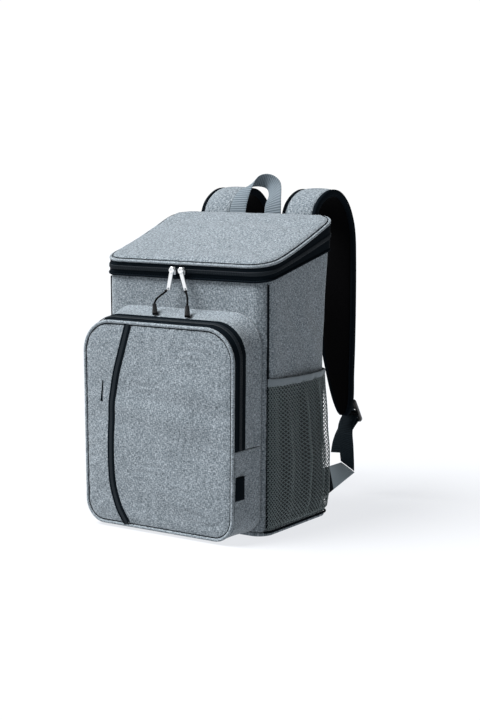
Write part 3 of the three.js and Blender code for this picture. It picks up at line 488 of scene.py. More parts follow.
def rod(name, path, radius, reference, sides=10, ring=False):
    """A round section carried along a path of points in mm. Its first direction is square to the
    path and to the reference direction, its second is square to both. Open ends are drawn in to a
    rounded tip."""
    path = np.asarray(path, dtype=float)
    if ring:
        along = np.roll(path, -1, 0) - np.roll(path, 1, 0)
    else:
        along = np.gradient(path, axis=0)
    along = unit(along)
    first = unit(np.cross(along, np.asarray(reference, dtype=float)))
    second = np.cross(first, along)
    size = np.full(len(path), float(radius))
    if not ring:
        narrowed, tip = np.array([0.02, 0.72, 0.94]), radius * np.array([0.0, 0.35, 0.75])
        path = np.concatenate([path[[0, 0, 0]], path[1:-1], path[[-1, -1, -1]]])
        path[:3] += along[:1] * tip[:, None]
        path[-3:] -= along[-1:] * tip[::-1, None]
        first = np.concatenate([first[[0, 0]], first, first[[-1, -1]]])
        second = np.concatenate([second[[0, 0]], second, second[[-1, -1]]])
        size = np.concatenate([radius * narrowed, size[1:-1], radius * narrowed[::-1]])
    turn = np.linspace(0, 2 * np.pi, sides, endpoint=False)[None, :, None]
    section = first[:, None] * np.cos(turn) + second[:, None] * np.sin(turn)
    grid = path[:, None] + size[:, None, None] * section
    made = surface(name, grid, closed=(ring, True), inside=path.mean(0))
    row = 0 if ring else len(path) // 2
    face_out(made, row * sides, section[row, 0] + section[row, 1])
    return made


def woven_tape(name, colour, roughness, pitch):
    """Polyester tape, plain woven: matt, with a fine cross grain. The grain is drawn about twice
    as coarse as real so that it shows."""
    made, tree, shader = finish_of(name, Base_Color=linear(colour), Roughness=roughness,
                                   Sheen_Roughness=0.5, Specular_IOR_Level=0.02)
    cut = add(tree, "ShaderNodeUVMap", uv_map="cut")
    grain = add(tree, "ShaderNodeTexWave", {"Vector": (cut, "UV"), "Scale": 1.0 / pitch,
                                            "Distortion": 0.6}, bands_direction="DIAGONAL")
    bumped(tree, shader, (grain, 1), 0.35, 0.0003)
    return made


black_tape = woven_tape("black_polyester_tape", "#080e13", 0.85, 0.012)

turn = np.linspace(FRONT_CORNER, LAP - FRONT_CORNER, 150)
base_piping = rod("base_piping_cord", wall_point(turn, np.full_like(turn, BASE), 0.8 * BODY_PIPING),
                  0.75 * BODY_PIPING, (0, 0, 1))
dress(base_piping, black_tape, "black_tape", "base_piping")
for side, name in ((1, "right"), (-1, "left")):
    rise = np.linspace(BASE + 2 * BODY_PIPING, wall_top(-HALF_DEPTH) - 2 * BODY_PIPING - SEAM, 40)
    line = wall_point(np.full_like(rise, side * CORNER_SEAM), rise, 0.0)
    corner_piping = rod(f"corner_cord_{name}", line, 0.66 * BODY_PIPING, (0, 1, 0))
    dress(corner_piping, black_tape, "black_tape", f"corner_piping_{name}")
turn = np.linspace(-BACK_CORNER + 0.03, BACK_CORNER - 0.03, 200)
_, depth, _, _ = loop_point(BODY_LOOP, turn)
line = wall_point(turn, wall_top(depth) - 0.62 * BODY_PIPING, 0.85 * BODY_PIPING)
band_piping = rod("band_foot_cord", line, 0.75 * BODY_PIPING, (0, 0, 1))
dress(band_piping, black_tape, "black_tape", "lid_band_piping")

# ---------------------------------------------------------------------------------------------
# Lid.
# One padded panel of mélange cloth over foam, domed a little, edged with a pale piping and its
# dark seam. It is hinged along the back and closed by the zip band below it.

LID_WIDTH, LID_CROWN, LID_THICK, LID_PIPING = 292.0, 7.0, 8.0, 2.1
LID_LOOP = dict(half=LID_WIDTH / 2, low=LID_FRONT, high=HALF_DEPTH,
                low_radius=40.0, high_radius=27.0, split=0.0)
LID_MIDDLE = (LID_FRONT + HALF_DEPTH) / 2


def lid_points():
    """Closed pad: columns run from the middle of the underside to the rim, round it and back to
    the middle of the top, rows go round by turn. The top is the sloping rim, a product of two
    parabolas, creases, and a row of puckers that dies away from the rim's seam."""
    t = np.linspace(0, LAP, 288, endpoint=False)[:, None]
    low = np.linspace(0, 0.97, 10)
    roll = np.array([0.99, 0.997, 1.0, 0.999, 0.994, 0.985])
    top = np.linspace(0.972, 0, 60)
    reach = np.concatenate([low, roll, top])[None, :]
    layer = np.concatenate([0 * low, [0.04, 0.13, 0.27, 0.42, 0.55, 0.64], 0 * top + 1])[None, :]
    cloth = inset(LID_LOOP, 2 * LID_PIPING + SEAM)
    a, b, _, _ = loop_point(cloth, t)
    x = a * reach
    y = mix(LID_MIDDLE, b, reach)
    across, along = x / (LID_WIDTH / 2), (y - LID_MIDDLE) / ((HALF_DEPTH - LID_FRONT) / 2)
    dome = LID_CROWN * np.maximum(0, 1 - across**2) * np.maximum(0, 1 - along**2)
    rim = (1 - reach) * 110
    filled = 1 - 0.30 * np.exp(-rim / 5)
    run = t * 29
    pucker = 0.5 * np.sin(2 * np.pi * run / 19 + 2.2 * np.sin(run / 37)) * np.exp(-rim / 9)
    soft = waves(x, y, 3, (170, 105, 70), 1.7) * (1 - np.exp(-rim / 20))
    upper = (layer == 1) * 1.0
    thick = layer * LID_THICK * np.where(layer == 1, filled, 1)
    z = rim_height(y) + dome + thick + upper * (pucker + soft)
    return np.stack(np.broadcast_arrays(x, y, z), -1)


lid = surface("lid_pad", lid_points(), closed=(True, False), inside=(0, LID_MIDDLE, 408), weld=0.001,
              cut_from=[0, 1])
at = places(lid)
LID_HALF_WIDTH, LID_HALF_DEPTH = 141.5, 90.0
MIDDLE_REACH, MIDDLE_HELD = 34.0, 0.9
rim_share = np.maximum(np.abs(at[:, 0]) / LID_HALF_WIDTH, np.abs(at[:, 1] - LID_MIDDLE) / LID_HALF_DEPTH)
under = at[:, 2] < rim_height(at[:, 1]) + 0.8 * LID_THICK
# The rim's seam holds the cloth, and the small faces in the middle of the grid are held a little
crown = MIDDLE_HELD * np.exp(-(at[:, 0] ** 2 + (at[:, 1] - LID_MIDDLE) ** 2) / MIDDLE_REACH**2)
seam = np.maximum(crown, smooth((rim_share - 0.9) / 0.08))
settle(lid, np.where(under, 1.0, seam), growth=0.003, pressure=2.6, cap=4.0, bending=30.0)
dress(lid, heather, "heather_fabric", "lid_panel")

pale_tape = melange_cloth("piping_melange", "#a0a9af", "#666f76", "#383f45")
turn = np.linspace(0, LAP, 300, endpoint=False)
a, b, _, _ = loop_point(inset(LID_LOOP, LID_PIPING), turn)
line = np.stack([a, b, rim_height(b) + LID_PIPING], -1)
lid_piping = rod("lid_edge_cord", line, LID_PIPING, (0, 0, 1), ring=True)
dress(lid_piping, pale_tape, "pale_piping", "lid_piping")
# A thin black rod, drawn as a dark line round the seam between the piping and the pad
a, b, _, _ = loop_point(inset(LID_LOOP, 2 * LID_PIPING + 0.5), turn)
line = np.stack([a, b, rim_height(b) + LID_THICK * 0.62], -1)
lid_seam = rod("lid_seam_dark_line", line, 0.5, (0, 0, 1), 6, ring=True)
dress(lid_seam, black_tape, "black_tape")

# ---------------------------------------------------------------------------------------------
# Lid zip band.
# Two black woven tapes with a nylon coil between them, sewn between the body's top seam and the
# lid's rim on the front and both sides.

BAND_THICK, BAND_FOOT, BAND_HEAD = 2.4, 2.0, 1.0
COIL_WIDTH, COIL_THICK, COIL_PLACE = 6.0, 1.6, 0.52
COIL_PITCH = 2.6


def band_point(t, rise, offset):
    """The band's outer face: straight from the walls' top edge, rise 0, to the lid's rim, rise 1,
    pushed out by an offset along the body's normal."""
    foot_a, foot_b, na, nb = loop_point(BODY_LOOP, t)
    head_a, head_b, _, _ = loop_point(inset(LID_LOOP, BAND_HEAD), t)
    x = mix(foot_a + na * BAND_FOOT, head_a, rise)
    y = mix(foot_b + nb * BAND_FOOT, head_b, rise)
    z = mix(wall_top(foot_b) + SEAM, rim_height(head_b) - SEAM, rise)
    return np.stack(np.broadcast_arrays(x + na * offset, y + nb * offset, z), -1)


def band_points():
    """Rows along the band, columns up it: each tape bows out a little between its seam and the
    coil, with a stitched dip near both."""
    t = np.linspace(-BACK_CORNER + 0.03, BACK_CORNER - 0.03, 240)[:, None]
    v = np.linspace(0, 1, 41)[None, :]
    tall = band_point(t, 1, 0)[..., 2] - band_point(t, 0, 0)[..., 2]
    from_coil = np.abs(v - COIL_PLACE) * tall
    below, above = np.clip(v / COIL_PLACE, 0, 1), np.clip((v - COIL_PLACE) / (1 - COIL_PLACE), 0, 1)
    bow = 0.25 * np.sin(np.pi * below) + 0.25 * np.sin(np.pi * above)
    slit = -0.6 * np.exp(-(from_coil / 2.0) ** 2)
    stitch = -0.35 * np.exp(-((from_coil - 5.5) / 0.9) ** 2)
    return band_point(t, v, bow + slit + stitch - 0.2)


zip_band = wall_cloth(surface("lid_zip_tapes", band_points(), inside=(0, 0, 400)), BAND_THICK - 1.4)
dress(zip_band, black_tape, "black_tape", "lid_zip_band")


def coil(name, place, length):
    """Two rows of nylon turns: across the zip a flattened section with a groove in its middle,
    along it a ripple whose crests are one pitch apart, in two rows half a pitch out of step.
    place gives the points for a share of the length, a distance across and a height."""
    steps = int(length / COIL_PITCH * 5)
    u = np.linspace(0, 1, steps)[:, None]
    w = np.linspace(-1, 1, 13)[None, :]
    run = u * length
    row = np.where(w < 0, 0.0, 0.5)
    crest = 0.5 + 0.5 * np.sin(2 * np.pi * (run / COIL_PITCH + row))
    round_off = np.sqrt(np.maximum(0, 1 - w**2))
    groove = np.exp(-(w / 0.16) ** 2)
    height = COIL_THICK * (0.25 + 0.75 * round_off * (0.45 + 0.55 * crest)) * (1 - 0.45 * groove)
    return surface(name, place(u, w * COIL_WIDTH / 2, height), inside=None)


def moulded(name, colour, roughness):
    """Moulded or drawn plastic with a very fine grain: dark, with a soft broad highlight."""
    gloss = 0.5 if roughness < 0.5 else 0.15
    made, tree, shader = finish_of(name, Base_Color=linear(colour), Roughness=roughness, IOR=1.5,
                                   Specular_IOR_Level=gloss)
    here = add(tree, "ShaderNodeTexCoord")
    grain = add(tree, "ShaderNodeTexNoise", {"Vector": (here, "Object"), "Scale": 1600.0, "Detail": 1.0})
    bumped(tree, shader, (grain, 0), 0.06, 0.0002)
    return made


nylon_coil = moulded("nylon_zip_coil", "#0d151b", 0.6)


def lid_coil_place(u, across, height):
    """The coil on the band's outer face, its width measured up the band."""
    t = mix(-BACK_CORNER + 0.03, BACK_CORNER - 0.03, u)
    tall = band_point(t, 1, 0)[..., 2] - band_point(t, 0, 0)[..., 2]
    return band_point(t, COIL_PLACE + across / tall, height - 0.1)


lid_coil = coil("lid_coil_turns", lid_coil_place, 650)
dress(lid_coil, nylon_coil, "zip_coil", "lid_zip_coil")

# ---------------------------------------------------------------------------------------------
# Front pocket.
# A rounded pocket: mélange front panel with pale piping round it, a gusset of the same cloth, and
# a black zip let into the gusset's upper part, with lighter padding than the body.

POCKET_WIDTH, POCKET_DEPTH = 262.0, 63.0
POCKET_BOTTOM, POCKET_TOP = 4.0, 299.0
POCKET_HEIGHT = POCKET_TOP - POCKET_BOTTOM
POCKET_WALL, POCKET_CROWN, POCKET_PIPING = 3.0, 5.0, 2.5
POCKET_FRONT = -HALF_DEPTH - POCKET_DEPTH
TAPE_FRONT, TAPE_WIDTH = POCKET_FRONT + 4.0, 23.0
POCKET_LOOP = dict(half=POCKET_WIDTH / 2, low=POCKET_BOTTOM, high=POCKET_TOP,
                   low_radius=33.0, high_radius=48.0, split=132.0)
POCKET_BACK_LOOP = {**POCKET_LOOP, "half": POCKET_WIDTH / 2 + 3.0, "high": POCKET_TOP + 16.0}


def pocket_narrow(z):
    """The pocket's width as a share, which shrinks a little towards its bottom."""
    return mix(0.98, 1, (z - POCKET_BOTTOM) / POCKET_HEIGHT)


def gusset_point(t, y, offset):
    """The gusset's outer face at turn t and depth y: straight between the front and back loops,
    pushed out by an offset."""
    share = (y - TAPE_FRONT) / (-HALF_DEPTH - TAPE_FRONT)
    fa, fb, na, nb = loop_point(POCKET_LOOP, t)
    ba, bb, _, _ = loop_point(POCKET_BACK_LOOP, t)
    z = mix(fb, bb, share) + nb * offset
    x = mix(fa, ba, share) * pocket_narrow(z) + na * offset
    return np.stack(np.broadcast_arrays(x, y, z), -1)


def pocket_face(x, z):
    """Depth of the front panel's outer face, a product of two parabolas."""
    across, up = x / (POCKET_WIDTH / 2), 2 * (z - POCKET_BOTTOM) / POCKET_HEIGHT - 1
    return POCKET_FRONT - POCKET_CROWN * np.maximum(0, 1 - across**2) * np.maximum(0, 1 - up**2)


def pocket_relief(x, z, rim):
    """What the cloth adds to the panel's face: a rolled edge, puckers at the piping, broad
    creases from the corners, and a slight sag above the bottom."""
    turn = np.arctan2(z - 150, x) * 140
    pucker = 0.45 * np.sin(2 * np.pi * turn / 21 + 1.7 * np.sin(turn / 29)) * np.exp(-rim / 9)
    edge = -1.3 * np.exp(-rim / 4.5)
    soft = waves(x, z, 21, (190, 120, 75), 2.2) * (1 - np.exp(-rim / 25))
    sag = 1.2 * np.exp(-(((z - 60) / 40) ** 2)) * (1 - np.exp(-rim / 30))
    return pucker + edge + soft + sag


def panel_points():
    """Closed thin pad: columns run from the middle of its back to the edge and over to the middle
    of its front, rows go round by turn."""
    t = np.linspace(0, LAP, 288, endpoint=False)[:, None]
    low, roll, top = np.linspace(0, 0.985, 8), np.array([0.997, 1.0, 0.997]), np.linspace(0.988, 0, 70)
    reach = np.concatenate([low, roll, top])[None, :]
    layer = np.concatenate([0 * low, [0.15, 0.4, 0.7], 0 * top + 1])[None, :]
    cloth = inset(POCKET_LOOP, 2 * POCKET_PIPING + SEAM)
    middle = POCKET_BOTTOM + POCKET_HEIGHT / 2
    a, b, _, _ = loop_point(cloth, t)
    z = mix(middle, b, reach)
    x = a * reach * pocket_narrow(z)
    rim = (1 - reach) * 135
    relief = np.where(layer == 1, pocket_relief(x, z, rim), 0)
    y = pocket_face(x, z) + (1 - layer) * POCKET_WALL - relief
    return np.stack(np.broadcast_arrays(x, y, z), -1)


# The middle lines of the zip stripe and of the slit, which are sewn through the panel's cloth
STRIPE_ROWS = np.array([[-0.378, 0.984], [-0.473, 0.83], [-0.553, 0.698], [-0.588, 0.586], [-0.598, 0.42],
                        [-0.601, 0.298], [-0.584, 0.193], [-0.519, 0.098], [-0.41, 0.019]])
SLIT_LENGTH = 30.0


def curve(points, share):
    """A centripetal Catmull-Rom curve through the points: on each span the end slopes come from
    the neighbouring points, weighed by the square roots of the distances between them."""
    points = np.asarray(points, dtype=float)
    ends = np.vstack([2 * points[0] - points[1], points, 2 * points[-1] - points[-2]])
    spans = len(points) - 1
    place = np.clip(np.asarray(share, dtype=float), 0, 1) * spans
    k = np.minimum(place.astype(int), spans - 1)
    s = (place - k)[..., None]
    p0, p1, p2, p3 = (ends[k + n] for n in range(4))
    gap = [np.linalg.norm(q - p, axis=-1, keepdims=True) ** 0.5 for p, q in ((p0, p1), (p1, p2), (p2, p3))]
    d1 = np.where(gap[1] < 1e-4, 1.0, gap[1])
    d0 = np.where(gap[0] < 1e-4, d1, gap[0])
    d2 = np.where(gap[2] < 1e-4, d1, gap[2])
    m1 = ((p1 - p0) / d0 - (p2 - p0) / (d0 + d1) + (p2 - p1) / d1) * d1
    m2 = ((p2 - p1) / d1 - (p3 - p1) / (d1 + d2) + (p3 - p2) / d2) * d1
    return p1 + m1 * s + (3 * p2 - 3 * p1 - 2 * m1 - m2) * s**2 + (2 * p1 - 2 * p2 + m1 + m2) * s**3


def panel_place(rows):
    """Points on the panel from shares across and up it."""
    x, z = rows[:, 0] * POCKET_WIDTH / 2, POCKET_BOTTOM + rows[:, 1] * POCKET_HEIGHT
    return np.stack([x, 0 * x, z], -1)


stripe_route = panel_place(STRIPE_ROWS)
slit_top = panel_place(np.array([[-0.718, 0.705]]))[0]
slit_route = np.linspace(slit_top, slit_top + [-0.07 * SLIT_LENGTH, 0, -SLIT_LENGTH], 5)


def near_line(at, route, reach):
    """1 on points within a distance of a route, easing to 0 at twice that, seen from the front."""
    line = curve(route, np.linspace(0, 1, 160))[:, [0, 2]]
    gap = np.sqrt(((at[:, None, [0, 2]] - line[None]) ** 2).sum(-1)).min(1)
    return 1 - smooth(gap / reach - 1)


pocket_front = surface("pocket_front_pad", panel_points(), closed=(True, False), inside=(0, -153, 150),
                       weld=0.001, cut_from=[0, 2])
at = places(pocket_front)
PANEL_HALF_WIDTH, PANEL_HALF_HEIGHT, PANEL_MIDDLE = 125.0, 142.0, 151.5
rim_share = np.maximum(np.abs(at[:, 0]) / PANEL_HALF_WIDTH,
                       np.abs(at[:, 2] - PANEL_MIDDLE) / PANEL_HALF_HEIGHT)
inner = at[:, 1] > pocket_face(at[:, 0], at[:, 2]) + 1.8
sewn = np.maximum(near_line(at, stripe_route, 6.5), near_line(at, slit_route, 3.0))
sewn = np.maximum(sewn, smooth((rim_share - 0.93) / 0.06))
crown = MIDDLE_HELD * np.exp(-(at[:, 0] ** 2 + (at[:, 2] - PANEL_MIDDLE) ** 2) / MIDDLE_REACH**2)
sewn = np.maximum(sewn, crown)
settle(pocket_front, np.where(inner, 1.0, sewn), growth=0.002, pressure=2.2, cap=4.0, bending=30.0)
dress(pocket_front, heather, "heather_fabric", "pocket_panel")

turn = np.linspace(0, LAP, 360, endpoint=False)
a, b, _, _ = loop_point(inset(POCKET_LOOP, POCKET_PIPING), turn)
line = np.stack([a * pocket_narrow(b), np.full_like(a, TAPE_FRONT - SEAM - 0.87 * POCKET_PIPING), b], -1)
pocket_piping = rod("pocket_edge_cord", line, POCKET_PIPING, (0, 1, 0), ring=True)
dress(pocket_piping, pale_tape, "pale_piping", "pocket_piping")
# A thin black rod, drawn as a dark line round the seam between the piping and the panel
a, b, _, _ = loop_point(inset(POCKET_LOOP, 2 * POCKET_PIPING + 0.4), turn)
line = np.stack([a * pocket_narrow(b), np.full_like(a, TAPE_FRONT - SEAM - 1.25 * POCKET_PIPING), b], -1)
pocket_seam = rod("pocket_seam_dark_line", line, 0.6, (0, 1, 0), 6, ring=True)
dress(pocket_seam, black_tape, "black_tape")


def gusset(name, turns, depths, thickness, relief):
    """Rows along the gusset by turn, columns in depth, with relief(t, share) pushed outwards."""
    t = np.linspace(turns[0], turns[1], 260)[:, None]
    v = np.linspace(0, 1, 26)[None, :]
    points = gusset_point(t, mix(depths[0], depths[1], v), relief(t, v))
    return wall_cloth(surface(name, points, inside=(0, -120, 150)), thickness)


def cloth_slack(t, v):
    """Thin gusset cloth: hollow between its seams, with short puckers at both."""
    return (-1.6 * np.sin(np.pi * v) + 0.5 * np.sin(t * 9.3 + 2 * np.sin(t * 3.1)) * np.exp(-v * 5)
            + 0.7 * np.sin(t * 7.1 + 1.5 * np.sin(t * 2.3)) * np.sin(np.pi * v) - 0.2)


def tape_dip(t, v):
    """Zip tape: flat, dipped where it is stitched on both sides of the coil."""
    return -0.35 * np.exp(-((np.abs(v - 0.5) - 0.27) / 0.035) ** 2) - 0.25


upper = gusset("pocket_upper_gusset", (3, 9), (TAPE_FRONT + TAPE_WIDTH + SEAM, -HALF_DEPTH - SEAM),
               POCKET_WALL - 1.2, cloth_slack)
dress(upper, heather, "heather_fabric", "pocket_gusset_upper")
lower = gusset("pocket_lower_gusset", (-2.99, 2.99), (TAPE_FRONT, -HALF_DEPTH - SEAM),
               POCKET_WALL - 1.2, cloth_slack)
dress(lower, heather, "heather_fabric", "pocket_gusset_lower")
tape = gusset("pocket_zip_tapes", (3, 9), (TAPE_FRONT, TAPE_FRONT + TAPE_WIDTH), 1.2, tape_dip)
dress(tape, black_tape, "black_tape", "pocket_zip_tape")


def pocket_coil_place(u, across, height):
    """The coil along the middle of the tape, its width measured in depth."""
    return gusset_point(mix(3, 9, u), TAPE_FRONT + TAPE_WIDTH / 2 + across, height - 0.1)


pocket_coil = coil("pocket_coil_turns", pocket_coil_place, 560)
dress(pocket_coil, nylon_coil, "zip_coil", "pocket_zip_coil")

# ---------------------------------------------------------------------------------------------
# Zip stripe, lead slit and side label on the front pocket.
# A black closed-coil zip is sewn as a curved stripe down the panel's left part. Beside it are a
# short bound slit and, in the gusset's seam, a small black woven label, which is bare here.

STRIPE_WIDTH, TRIM_THICK = 12.5, 1.2


def panel_trim(route, u, across, height):
    """Points beside a route on the panel: moved square to it in the panel's plane, and stood off
    the panel's face by a height."""
    middle = curve(route, u[:, 0])
    along = unit(np.gradient(middle, axis=0))
    x = middle[:, None, 0] + along[:, None, 2] * across
    z = middle[:, None, 2] - along[:, None, 0] * across
    rim = np.full_like(x, 60.0)
    y = pocket_face(x, z) - pocket_relief(x, z, rim) * 0.85 - height
    return np.stack(np.broadcast_arrays(x, y, z), -1)


u = np.linspace(0, 1, 160)[:, None]
v = np.linspace(-1, 1, 15)[None, :]
rise = 0.6 * TRIM_THICK * np.sqrt(np.maximum(0, 1 - v**8)) * np.ones_like(u)
tape_points = panel_trim(stripe_route, u, v * STRIPE_WIDTH / 2, rise + 0.1)
stripe = surface("stripe_tape", tape_points, inside=(0, 0, 150))
dress(stripe, black_tape, "black_tape", "pocket_zip_stripe")
steps = np.linspace(0, 1, 640)[:, None]
w = np.linspace(-1, 1, 11)[None, :]
crest = 0.5 + 0.5 * np.sin(2 * np.pi * (steps * 300 / COIL_PITCH + np.where(w < 0, 0.0, 0.5)))
rounded = 0.6 * np.sqrt(np.maximum(0, 1 - w**2)) * (0.5 + 0.5 * crest)
rise = 0.6 * TRIM_THICK + rounded * (1 - 0.5 * np.exp(-(w / 0.2) ** 2))
coil_points = panel_trim(stripe_route, steps, w * 2.6, rise)
stripe_coil = surface("stripe_coil_turns", coil_points, inside=(0, 0, 150))
dress(stripe_coil, nylon_coil, "zip_coil")

SLIT_WIDTH = 2.4
u = np.linspace(0, 1, 40)[:, None]
bulge = np.sqrt(np.maximum(0, 1 - v**2)) * (1 - (2 * u - 1) ** 12)
bound = panel_trim(slit_route, u, v * SLIT_WIDTH / 2 * (1 + u**4), 0.15 + 0.8 * bulge)
slit = surface("slit_binding", bound, inside=(0, 0, 150))
dress(slit, black_tape, "black_tape", "lead_slit")

LABEL_WIDTH, LABEL_HEIGHT, LABEL_BOTTOM = 20.0, 33.0, 63.0


def label_points():
    """Closed slab with rounded edges on the right gusset: rows in depth, columns up its outer
    face and back down its inner one."""
    u = np.linspace(0, 1, 12)[:, None]
    up = np.concatenate([np.linspace(0, 1, 16), np.linspace(1, 0, 16)])[None, :]
    outer = np.concatenate([np.full(16, 1.0), np.full(16, 0.0)])[None, :]
    edge = np.minimum(np.minimum(u, 1 - u) * LABEL_WIDTH, np.minimum(up, 1 - up) * LABEL_HEIGHT)
    height = LABEL_BOTTOM + up * LABEL_HEIGHT
    y = TAPE_FRONT + 1 + u * LABEL_WIDTH
    wall = gusset_point(np.full_like(u, 2.0), y, 0)
    x = wall[..., 0] / pocket_narrow(wall[..., 2]) * pocket_narrow(height)
    off = np.where(outer == 1, 0.15 + TRIM_THICK * np.minimum(1, 0.35 + edge / 1.2), 0.1)
    return np.stack(np.broadcast_arrays(x + off, y, height), -1)


label = surface("side_label_patch", label_points(), closed=(False, True), inside=(131, -138, 80))
dress(label, black_tape, "black_tape", "side_label")

# ---------------------------------------------------------------------------------------------
# Side pockets.
# A slack pocket of dark knitted net on each side, gathered into the base and corner seams, with a
# plain grey cloth hem along its mouth. Only the strands are there. Behind them lies a dark sheet of
# painted shade, which stands for the shade inside the pocket and shows through the holes.

NET_BULGE, NET_SLACK, NET_FOLD, NET_FOLDS = 14.0, 7.0, 4.6, 5
NET_PITCH, STRAND = 4.3, 0.70
HEM_HEIGHT, HEM_DROP, HEM_THICK = 11.0, 3.0, 1.8
NET_START = FRONT_CORNER + 2 * BODY_PIPING / (np.pi / 2 * BODY_CORNER)
NET_END = BACK_CORNER - 0.02
NET_BOTTOM = BASE + BODY_PIPING + SEAM
NET_ROWS = np.array([[0, 0.04], [0.05, 0.72], [0.16, 1], [0.38, 0.88], [0.66, 0.42], [1, 0.02]])


def net_stand(up):
    """How far the net stands off the wall, by height: eased between the rows."""
    k = np.clip(np.searchsorted(NET_ROWS[:, 0], up), 1, len(NET_ROWS) - 1)
    low, high = NET_ROWS[k - 1], NET_ROWS[k]
    return mix(low[..., 1], high[..., 1], smooth((up - low[..., 0]) / (high[..., 0] - low[..., 0])))


def net_point(side, u, up, lift):
    """The net at share u of the way back and share up of its height: bulge and slack, with folds
    that hang from the hem, and a lift off it."""
    hang = np.sin(np.pi * np.clip(u, 0, 1) ** 1.3) ** 0.7
    slack = SEAM + NET_SLACK * np.sin(np.pi * u)
    small = 0.45 * np.sin(2 * np.pi * (9 * u + 0.3 * up))
    deep = NET_FOLD * (np.sin(2 * np.pi * NET_FOLDS * u) + small)
    stand = NET_BULGE * net_stand(up) * hang + slack * np.minimum(1, up * 2)
    stand = stand + deep * np.sin(np.pi * up) * hang
    turn = side * mix(NET_START, NET_END, u)
    return wall_point(turn, mix(NET_BOTTOM, NET_TOP + 1.5, up), np.maximum(SEAM, stand) + lift)


def knitted_net(name, colour):
    """Polyester net, warp knitted of fine filament: dark, faintly green grey, a little shiny."""
    made, _, _ = finish_of(name, Base_Color=linear(colour), Roughness=0.55, Sheen_Weight=0.2)
    return made


def plain_weave(name, pale, dark):
    """Plain woven polyester: matt, one colour, with a fine grain of slightly uneven threads. The
    threads are drawn 1 mm apart, twice the real spacing."""
    made, tree, shader = finish_of(name, Roughness=0.88, Sheen_Weight=0.1)
    cut = add(tree, "ShaderNodeUVMap", uv_map="cut")
    threads = add(tree, "ShaderNodeTexNoise", {"Vector": (cut, "UV"), "Scale": 900.0, "Detail": 1.0})
    tone = blended(tree, (threads, 0), linear(dark), linear(pale))
    tree.links.new(tone.outputs[2], shader.inputs["Base Color"])
    bumped(tree, shader, (threads, 0), 0.3, 0.0003)
    return made


def shade_sheet_points(side):
    """Painted shade: a dark sheet on the wall behind the net, which stands for the shade inside the
    pocket and darkens the net's holes. It reaches from the base to the hem.
    """
    u = np.linspace(0.01, 0.99, 40)[:, None]
    height = np.linspace(NET_BOTTOM, NET_TOP + 2, 30)[None, :]
    return wall_point(side * mix(NET_START, NET_END, u), height, 1.1 - 0.8 * (2 * u - 1) ** 8)


net_finish = knitted_net("polyester_net", "#4b595b")
hem_finish = plain_weave("plain_polyester", "#737d83", "#555e64")
# Painted shade: the dark sheet behind each net is coloured to stand for the shade inside the pocket
shade_sheet_finish = plain_weave("painted_shade_cloth", "#1d282b", "#12191c")
NET_WIDTH_FLAT, NET_HEIGHT_FLAT = 176.0, 215.0


def net_strands(side, lean):
    """One family of parallel strands on the flat net, all leaning one way: each is cut off where
    it leaves the net, drawn as a four-sided rod, and bent with the net. Gives strands by steps by
    corners."""
    reach = NET_WIDTH_FLAT + NET_HEIGHT_FLAT
    start = np.arange(-NET_HEIGHT_FLAT, NET_WIDTH_FLAT, NET_PITCH * math.sqrt(2))[:, None]
    low = np.maximum(0, -start)
    high = np.minimum(NET_HEIGHT_FLAT, NET_WIDTH_FLAT - start)
    run = mix(low, high, np.linspace(0, 1, 70)[None, :])
    flat_u = (start + run) / NET_WIDTH_FLAT
    flat_u = flat_u if lean > 0 else 1 - flat_u
    up = run / NET_HEIGHT_FLAT
    wave = 0.35 * np.sin(2 * np.pi * run / (NET_PITCH * 1.414))
    middle = net_point(side, np.clip(flat_u, 0, 1), up, 0.6 + lean * wave)
    along = unit(np.gradient(middle, axis=1))
    outward = unit(middle * [1, 1, 0] - [side * 60, 0, 0])
    across = unit(np.cross(along, outward))
    lift = np.cross(across, along)
    corners = [across * STRAND, lift * STRAND * 0.7, -across * STRAND, -lift * STRAND * 0.7]
    return np.stack([middle + c for c in corners], 2)


def strands_mesh(name, families):
    """All strands in one mesh: quads between neighbouring corners and steps of each strand, and a
    quad at both its ends."""
    grid = np.concatenate(families)
    count, steps, sides = grid.shape[:3]
    s, k, c = np.meshgrid(np.arange(count), np.arange(steps - 1), np.arange(sides), indexing="ij")
    def at(step, corner):
        return (s * steps + step) * sides + corner % sides
    quads = np.stack([at(k, c), at(k + 1, c), at(k + 1, c + 1), at(k, c + 1)], -1).reshape(-1, 4)
    first = np.arange(count)[:, None] * steps * sides + np.arange(sides)[None, :]
    last = first + (steps - 1) * sides
    quads = np.concatenate([quads, first, last[:, ::-1]])
    flat = grid.reshape(-1, 3)
    corner = flat[quads[0]]
    normal = np.cross(corner[2] - corner[0], corner[3] - corner[1])
    if np.dot(normal, corner.mean(0) - grid[0, :2].reshape(-1, 3).mean(0)) < 0:
        quads = quads[:, ::-1]
    mesh = bpy.data.meshes.new(name)
    mesh.from_pydata((flat * 0.001).tolist(), [], quads.tolist())
    mesh.validate()
    made = bpy.data.objects.new(name, mesh)
    bpy.context.collection.objects.link(made)
    return made


def hem_points(side):
    """Closed flat tube round the pocket's mouth: rows backwards, columns round its section, which
    is thick at its lower fold and thin at its upper edge."""
    u = np.linspace(0, 1, 90)[:, None]
    turn = np.linspace(0, 2 * np.pi, 20, endpoint=False)[None, :]
    up = 0.5 + 0.5 * np.sin(turn)
    out = 0.5 + 0.5 * np.cos(turn) * (0.8 + 0.2 * np.sin(turn))
    ripple = 0.5 * np.sin(2 * np.pi * 6 * u) + 0.3 * np.sin(2 * np.pi * 11 * u + 1)
    slack = SEAM + NET_SLACK * np.sin(np.pi * u) + ripple * np.sin(np.pi * u)
    height = NET_TOP + up * (HEM_HEIGHT - HEM_DROP * u) - 1.2 * np.sin(np.pi * u)
    return wall_point(side * mix(NET_START, NET_END, u), height, slack + out * HEM_THICK)


